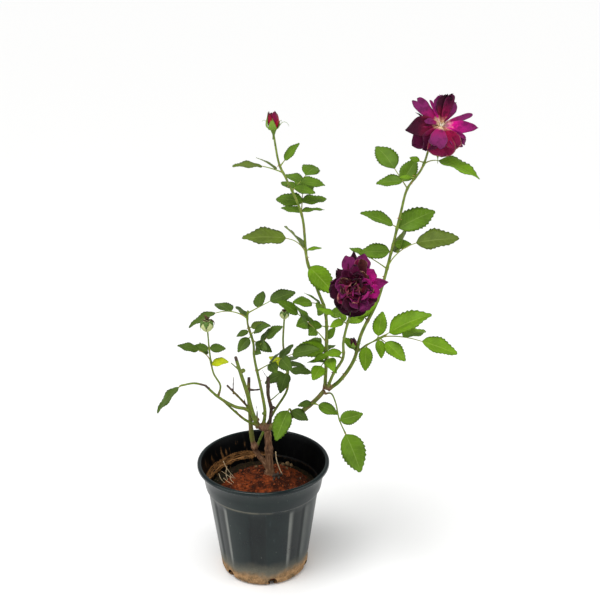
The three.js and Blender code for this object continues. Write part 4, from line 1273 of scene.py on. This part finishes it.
def build_stems(limbs):
    """The stems' skin with its bark's ridges and knobs, and the numbers that its finish reads."""
    skin = stem_skin(limbs)
    grain, age, dead = read_stems(skin, limbs)
    normals = np.empty(len(skin.data.vertices) * 3, np.float32)
    skin.data.vertex_normals.foreach_get("vector", normals)
    normals = normals.reshape(-1, 3)
    ends = [(limbs[name].line.at(1), depth) for name, depth in CUT_ENDS.items()]
    for index, (vertex, normal, place, old) in enumerate(zip(skin.data.vertices, normals, grain, age)):
        here = Vector(place)
        for tip, depth in ends:
            away = (vertex.co / MM - tip).length
            if away < depth:
                dead[index] = max(dead[index], 1 - smooth(depth * 0.4, depth, away))
        ridges = noise.fractal(Vector((here.x * 0.5, here.y * 0.5, here.z * 0.14)), 0.9, 2.1, 3)
        knobs = noise.noise(Vector((here.x * 0.1, here.y * 0.1, here.z * 0.13)) + Vector((7, 3, 1)))
        rough = old * (BARK["ridge"] * ridges + BARK["knob"] * knobs) * (1 if old > 0.5 else old * 2)
        vertex.co += Vector(normal) * (BARK["skin_ridge"] * ridges + rough) * MM
    mesh = skin.data
    grain_layer = mesh.attributes.new("grain", "FLOAT_VECTOR", "POINT")
    grain_layer.data.foreach_set("vector", (grain * MM).astype(np.float32).ravel())
    for name, values in (("bark", age), ("dead", dead)):
        layer = mesh.attributes.new(name, "FLOAT", "POINT")
        layer.data.foreach_set("value", values.astype(np.float32))
    mesh.polygons.foreach_set("use_smooth", [True] * len(mesh.polygons))
    mesh.materials.append(wood_finish())
    return settle(skin, "bark", ["trunk", *LIMBS])


def build_prickles(limbs):
    """Small curved prickles, sparse on the canes and thicker towards their feet."""
    draw = seeded(31)
    prickles = Gathered("prickles", [prickle_finish()])
    for name, count in PRICKLES.items():
        limb = limbs[name]
        for _ in range(count):
            u = 0.03 + 0.9 * draw() ** 1.4
            centre, along, side, up = limb.line.sections([u])[0]
            turn = 2 * math.pi * draw()
            out = side * math.cos(turn) + up * math.sin(turn)
            length = 2.2 + 1.6 * draw()
            foot = centre + out * (limb.radius(u) - 0.4)
            point = foot + out * length - along * length * 0.4
            hook = Line([foot, foot + out * length * 0.55 - along * 0.25, point])
            prickles.add(*tube(hook, lambda t: (1 - t) ** 1.3 + 0.06, 6, 5))
    prickles.build("green_cane")


# ---- Leaves --------------------------------------------------------------------------------------------

LEAFLET_COLUMNS = (-1, -0.66, -0.3, 0, 0.3, 0.66, 1)
PETAL_COLUMNS = tuple(np.linspace(-1, 1, 11))


def leaflet_outline(t):
    """Half width of a leaflet along its length: broad low down, drawn out to a point."""
    return math.sin(math.pi * min(t, 1) ** 0.78) ** 0.8 if 0 < t < 1 else 0


def leaflet_blade(foot, along, across, length, width, draw):
    """One leaflet: toothed at its edge, folded up from the midrib, curling down at its tip."""
    normal = along.cross(across)
    teeth = LEAFLET["teeth"]
    rows = teeth * 2
    fold = LEAFLET["fold"] * (0.55 + 0.9 * draw())
    curl = LEAFLET["curl"] * (0.7 + 0.6 * draw())
    wave = 0.02 + 0.025 * draw()
    phase = 2 * math.pi * draw()
    bend = (draw() - 0.5) * 0.12

    def place(s, t, face):
        reach, half = t, leaflet_outline(t) * width / 2
        if abs(s) == 1:
            tip = round(t * rows) % 2 == 1
            half *= 1.035 if tip else 0.93
            reach = min(t + (0.42 if tip else 0.0) / rows, 1)
        side = s * half
        lift = (fold * abs(side) * (1.15 - 0.3 * abs(s)) - curl * length * reach ** 2
                + wave * width * math.sin(reach * 13 + phase + (1.6 if s > 0 else 0)) * s * s
                + face * LEAFLET["thick"] / 2)
        sway = bend * length * reach ** 2
        return foot + along * (length * reach) + across * (side + sway) + normal * lift

    return thin_blade(rows, LEAFLET_COLUMNS, place)


def grow_leaf(start, row, draw, detail, leaves, stalks, tint):
    """A compound leaf by the source's rule: the same draws place each leaflet."""
    heading, rise, arch = row["heading"], row["rise"], row["arch"]
    pairs, size = row["pairs"], row["size"]
    reach = row["stalk"] + pairs * size * LEAFLET["spacing"]
    steps = 4

    def rise_at(u):
        return rise + LEAFLET["lift"] + arch * (0.6 - u)

    path = [start]
    for i in range(steps):
        along, _ = aim(heading, rise_at((i + 0.5) / steps))
        path.append(path[-1] + along * (reach / steps))
    line = Line(path)
    stalks.add(*tube(line, lambda u: lerp(1.0, 0.6, u) + 0.7 * math.exp(-u * line.length / 2.2), 8, 10))

    def leaflet(distance, splay, length):
        u = min(distance / reach, 1)
        main_along, main_across = aim(heading, rise_at(u), row["facing"])
        turn = math.radians(splay + (draw() - 0.5) * LEAFLET["swing"])
        along = main_along * math.cos(turn) + main_across * math.sin(turn)
        across = main_across * math.cos(turn) - main_along * math.sin(turn)
        across.rotate(Quaternion(along, math.radians((draw() - 0.5) * LEAFLET["tilt"])))
        long = length * (0.94 + draw() * 0.12)
        foot = line.at(u) - along * LEAFLET["sink"]
        blade = leaflet_blade(foot, along, across, long + LEAFLET["sink"], long * LEAFLET["width"], detail)
        index = LEAF_TINTS.index(tint)
        leaves.add(*blade, index, index + len(LEAF_TINTS))

    for k in range(pairs):
        distance = row["stalk"] + k * size * LEAFLET["spacing"]
        ratio = LEAFLET["last_pair"] - LEAFLET["pair_step"] * (pairs - 1 - k)
        for side in row["sides"]:
            leaflet(distance, side * LEAFLET["splay"], size * ratio)
    leaflet(reach, 0, size)


def build_leaves(limbs):
    """Every mass, grown on from its limb or shoot by its own seed; detail only shapes the blades."""
    leaves = Gathered("leaves", leaf_finishes())
    stalks = Gathered("leaf_stalks", [stalk_finish()])
    detail = seeded(5)
    for index, (name, (on, tint, rows)) in enumerate(MASSES.items()):
        draw = seeded(FIRST_SEED + index)
        line = limbs[on if isinstance(on, str) else name].line
        for row in rows:
            start = line.at(line.at_height(row["height"]))
            grow_leaf(start, row, draw, detail, leaves, stalks, row["tint"] or tint)
    leaves.build("leaf", list(MASSES))
    stalks.build("green_cane")


# ---- Blooms, bud and hips ------------------------------------------------------------------------------

PETAL_TIPS = {  # how soon a petal broadens and closes, how squarely, and how broad it is
    "round": (0.85, 6, 0.5, 1.16), "ragged": (0.85, 7, 0.5, 1.16), "notch": (0.85, 9, 0.5, 1.14),
    "strap": (0.5, 9, 0.5, 1.16), "point": (0.8, 2.4, 1, 1.5),
}


def petal_outline(t, tip):
    """Half width of a petal: a narrow claw, broad past the middle, closing at the end."""
    rise, close, square, broad = PETAL_TIPS[tip]
    return broad * math.sin(math.pi / 2 * t ** rise) * (1 - t ** close) ** square if 0 < t < 1 else 0


def tip_reach(s, tip, phase):
    """How much further a petal's end reaches at a share across, of its length."""
    if tip == "notch":
        return 0.05 * s - 0.1 * math.exp(-((s + 0.05) / 0.35) ** 2)
    if tip == "ragged":
        return 0.045 * math.sin(7 * s + phase) + 0.035 * math.sin(17 * s + 2 * phase) - 0.03 * s * s
    return -0.05 * s * s if tip == "round" else 0


def petal_blade(foot, along, across, length, width, draw, tip="round", curl=0.15, cup=0.15, ruffle=0.05,
                crumple=0.0):
    """A petal. Curl bends its end back, cup lifts its sides, and crumple shakes it all over."""
    normal = along.cross(across)
    phase = 2 * math.pi * draw()
    second = 2 * math.pi * draw()
    shift = Vector((draw(), draw(), draw())) * 50
    lean = (draw() - 0.5) * 0.2

    def place(s, share, face):
        t = 1 - (1 - share) ** 1.5
        reach = t + tip_reach(s, tip, phase) * t ** 4
        side = s * width / 2 * petal_outline(t, tip)
        edge_wave = s * s * t * math.sin(6 * t + phase + 2.2 * s)
        wave = ruffle * width * (edge_wave + 0.5 * t * math.sin(3 * s + second))
        lift = cup * abs(side) * abs(s) - curl * length * t * t + wave + face * 0.18
        point = foot + along * (length * reach) + across * (side + lean * length * t * t) + normal * lift
        return point + noise.noise_vector((point + shift) * 0.11) * crumple * t

    return thin_blade(14, PETAL_COLUMNS, place)


def ribbon(line, across, width, cup=0.2, thick=0.5):
    """A narrow blade bent along a line: broad near its foot and drawn out to a thread."""
    blade, thread = 0.85, 0.45  # the share of the length that broadens, and the thread's half width

    def place(s, t, face):
        ahead = (line.at(t + 0.03) - line.at(t - 0.03)).normalized()
        side = (across - ahead * across.dot(ahead)).normalized()
        broad = math.sin(math.pi * (t / blade) ** 0.55) ** 1.2 if 0 < t < blade else 0
        half = max(width / 2 * broad, thread)
        lift = face * thick / 2 * (1 - 0.5 * t) - cup * abs(s) * half
        return line.at(t) + side * s * half + ahead.cross(side) * lift

    return thin_blade(14, (-1, -0.5, 0, 0.5, 1), place)


def face_of(heading, rise):
    """Right, up and out of a bloom's face."""
    out, _ = aim(heading, rise)
    right = UP.cross(out).normalized()
    return right, out.cross(right), out


def face_aim(face, turn, lean):
    """A direction in a bloom's face, and the direction across it."""
    right, up, out = face
    t, r = math.radians(turn), math.radians(lean)
    along = (right * math.cos(t) + up * math.sin(t)) * math.cos(r) + out * math.sin(r)
    return along, up * math.cos(t) - right * math.sin(t)


def add_calyx(greens, limb, heart, cup, sepals):
    """The green cup under a bloom and the sepals folded back from it."""
    neck = Line([limb.line.at(0.97), limb.line.at(1), heart])
    tip = limb.tip / 2

    def radius(u):
        return tip + (cup * 0.55 - tip) * smooth(0.35, 0.7, u) + cup * 0.3 * smooth(0.75, 1, u)

    greens.add(*tube(neck, radius, 14, 14, 0.05, 0.92))
    seat = neck.at(0.8)
    for heading, rise, length, width in sepals:
        along, across = aim(heading, rise)
        out = seat + along * cup * 0.5
        end = out + along * length - UP * 5
        line = Line([out, out + along * length * 0.35, out + along * length * 0.7 - UP * 1.5, end])
        greens.add(*ribbon(line, across, width))


def build_blooms(limbs):
    """The open blooms and the buds: petals of each apart, and all their cups and sepals together."""
    finishes = petal_finishes()
    greens = Gathered("calyxes", [calyx_finish("calyx_green", "#6d8f26", "#56701e")])
    for name, bloom in BLOOMS.items():
        draw = seeded(61)
        petals = Gathered(name + "_petals", finishes)
        heart, face = Vector(bloom["heart"]), face_of(*bloom["face"])
        for row in bloom["petals"]:
            shape = {key: value for key, value in row.items() if key not in ("turn", "lean", "tint")}
            along, across = face_aim(face, row["turn"], row["lean"])
            foot = heart + along * 1.5 - face[2] * bloom["core"] * 0.2
            petals.add(*petal_blade(foot, along, across, draw=draw, **shape), PETAL_TINTS.index(row["tint"]))
        if name == "bloom_front":
            add_inner_petals(petals, heart, face, bloom["core"], draw)
        else:
            add_stamens(heart, face, draw)
        petals.build(bloom["slot"], [name])
        seat = heart - face[2] * bloom["core"] * 0.5
        add_calyx(greens, limbs[bloom["cane"]], seat, bloom["cup"], bloom["sepals"])
    wraps = Gathered("bud_petals", finishes)
    for bud in BUDS:
        add_bud(wraps, greens, bud)
    wraps.build("bud", ["bud"])
    greens.build("bud")


def add_inner_petals(petals, heart, face, core, draw):
    """The crumpled middle of a full bloom: small petals folded round the heart, many with dried edges."""
    out = face[2]
    petals.add(*round_lump(heart - out * 3, core * 1.05, draw, 0.15), PETAL_TINTS.index("velvet"))
    for ring, (count, lean, spread, size) in enumerate(INNER_RINGS):
        for k in range(count):
            turn = 360 * (k + 0.7 * draw()) / count + ring * 23
            along, across = face_aim(face, turn, lean + 26 * (draw() - 0.5))
            flat, _ = face_aim(face, turn, 0)
            across.rotate(Quaternion(along, 1.3 * (draw() - 0.5)))
            foot = heart + flat * core * spread * 0.8 + out * (ring * 2.2 - 1)
            tint = INNER_TINTS[int(draw() * len(INNER_TINTS))]
            length = size * (0.75 + 0.5 * draw())
            width = 13 + 7 * draw()
            curl = -0.35 + 0.6 * draw()
            cup = 0.5 * draw()
            blade = petal_blade(foot, along, across, length, width, draw, "ragged", curl, cup, 0.14, 4.5)
            petals.add(*blade, PETAL_TINTS.index(tint))


def add_stamens(heart, face, draw):
    """A sparse tuft of short threads in the heart of the open bloom."""
    stamens = Gathered("stamens", [stamen_finish()])
    for _ in range(16):
        along, _ = face_aim(face, 360 * draw(), 10 + 60 * draw())
        length = 3 + 2.5 * draw()
        line = Line([heart, heart + along * length * 0.5, heart + along * length + UP * 0.8])
        stamens.add(*tube(line, lambda u: 0.2 + 0.3 * smooth(0.8, 0.92, u), 5, 7))
    stamens.build("petal")


def add_bud(wraps, greens, bud):
    """A bud: petals wrapped one over the next, in a green cup with sepals that stand or curl away."""
    foot, axis, radius = Vector(bud["foot"]), Vector(bud["axis"]), bud["radius"]
    tall, scale = axis.length, radius / 8
    axis.normalize()
    for k in range(6):
        start = math.radians(-90 + 60 * k)
        outer, height = (1.0, 0.9) if k % 2 else (0.9, 1.0)

        def place(s, t, face, start=start, outer=outer, height=height):
            belly = math.sin(math.pi * (0.12 + 0.68 * t)) ** 0.7
            turn = start + s * 0.85 * math.sqrt(max(1 - t ** 3, 0)) + 0.35 * t
            reach = radius * outer * belly * (1 + 0.07 * s) + face * 0.15
            rim = Vector((math.cos(turn), math.sin(turn), 0)) * reach
            return foot + axis * (tall * height * t) + rim

        wraps.add(*thin_blade(12, PETAL_COLUMNS, place), PETAL_TINTS.index(bud["tints"][k % 2]))
    heart = Line([foot, foot + axis * tall * 0.4, foot + axis * tall * 0.86])
    wraps.add(*tube(heart, lambda u: radius * 0.72 * math.sin(math.pi * (0.15 + 0.75 * u)) ** 0.8, 12, 10),
              PETAL_TINTS.index("velvet"))
    neck = Line([Vector(bud["stem"]), foot - axis * 6 * scale, foot + axis * 3 * scale])
    greens.add(*tube(neck, lambda u: (1.6 + 2.9 * smooth(0.3, 0.95, u)) * scale, 12, 12))
    for heading, width, profile in BUD_SEPALS:
        away, across = aim(heading, 0)
        line = Line([foot + away * out * scale + axis * up * scale for out, up in profile])
        greens.add(*ribbon(line, across, width * scale))


def build_hips():
    """Green hips: a pale urn, sepals folded down over it, and a withered tuft with one curl on top."""
    fruit = Gathered("hips", [calyx_finish("hip_green", "#b9c084", "#b0b97c")])
    crowns = Gathered("hip_crowns", [litter_finish("sepal_withered", "#2a1b12", "#6b5238"),
                                     calyx_finish("hip_sepal", "#4c6a22", "#3a4418")])
    draw = seeded(91)
    for hip in HIPS.values():
        centre, radius, tall = Vector(hip["centre"]), hip["radius"], hip["height"]
        line = Line([centre - UP * tall * 0.5, centre, centre + UP * tall * 0.4])
        fruit.add(*tube(line, lambda u: radius * math.sin(math.pi * (0.06 + 0.8 * u)) ** 0.7, 24, 20))
        for k in range(5):
            away, across = aim(72 * k - 94 + 12 * draw(), 0)
            low = -0.2 - 0.25 * draw()
            points = [(0.35, 0.42), (0.84, 0.3), (1.06, 0.05), (0.98, low)]
            line = Line([centre + away * radius * out + UP * tall * up for out, up in points])
            crowns.add(*ribbon(line, across, radius * 0.9), 1)
        for k in range(22):
            along, across = aim(360 * k / 22 + 20 * draw(), 15 + 60 * draw())
            crowns.add(*petal_blade(centre + UP * tall * 0.34, along, across, radius * (0.5 + 0.5 * draw()),
                                    radius * 0.3, draw, "ragged", 0.3 * draw(), crumple=1.4))
        curl = [(0.4, 0, 0.8), (0.9, -0.1, 0.7), (1.15, -0.1, 0.3), (1.1, 0, 0)]
        line = Line([centre + Vector(point) * radius for point in curl])
        crowns.add(*ribbon(line, UP, radius * 0.28))
    fruit.build("hip", list(HIPS))
    crowns.build("hip")


# ---- Floor, light and camera ---------------------------------------------------------------------------

def build_stage():
    """A pale floor, an even white sky, a soft sun, two side lamps and the camera."""
    bpy.ops.object.select_all(action="DESELECT")
    bpy.ops.mesh.primitive_plane_add(size=80, location=(0, 0, -0.0005))
    floor = bpy.context.object
    floor.name = floor.data.name = "floor"
    finish = Finish("floor_pale", gloss=0.1)
    floor.data.materials.append(finish.show(base_color=(0.86, 0.86, 0.855, 1), roughness=0.95))

    world = bpy.data.worlds.new("studio")
    world.use_nodes = True
    world.node_tree.nodes["Background"].inputs["Color"].default_value = (1, 1, 1, 1)
    world.node_tree.nodes["Background"].inputs["Strength"].default_value = 0.5
    bpy.context.scene.world = world

    sun = bpy.data.lights.new("sky", "SUN")
    sun.energy, sun.angle = SUN["energy"], math.radians(SUN["spread"])
    overhead = bpy.data.objects.new("sky", sun)
    overhead.rotation_euler = (*[math.radians(part) for part in SUN["tip"]], 0)
    bpy.context.collection.objects.link(overhead)
    for name, (place, size, power) in LAMPS.items():
        light = bpy.data.lights.new(name, "AREA")
        light.size, light.energy = size * MM, power
        lamp = bpy.data.objects.new(name, light)
        lamp.location = Vector(place) * MM
        lamp.rotation_mode = "QUATERNION"
        lamp.rotation_quaternion = (Vector(LAMPS_AIM) - Vector(place)).to_track_quat("-Z", "Y")
        bpy.context.collection.objects.link(lamp)

    camera = bpy.data.cameras.new("camera")
    camera.lens, camera.sensor_width = CAMERA["lens"], CAMERA["sensor"]
    holder = bpy.data.objects.new("camera", camera)
    holder.location = Vector(CAMERA["place"]) * MM
    holder.rotation_euler = (math.radians(90 - CAMERA["down"]), 0, 0)
    bpy.context.collection.objects.link(holder)
    bpy.context.scene.camera = holder
    bpy.context.scene.view_settings.view_transform = "Standard"


build_stage()
build_pot()
build_soil()
build_litter()
limbs = all_limbs()
build_stems(limbs)
build_prickles(limbs)
build_leaves(limbs)
build_blooms(limbs)
build_hips()
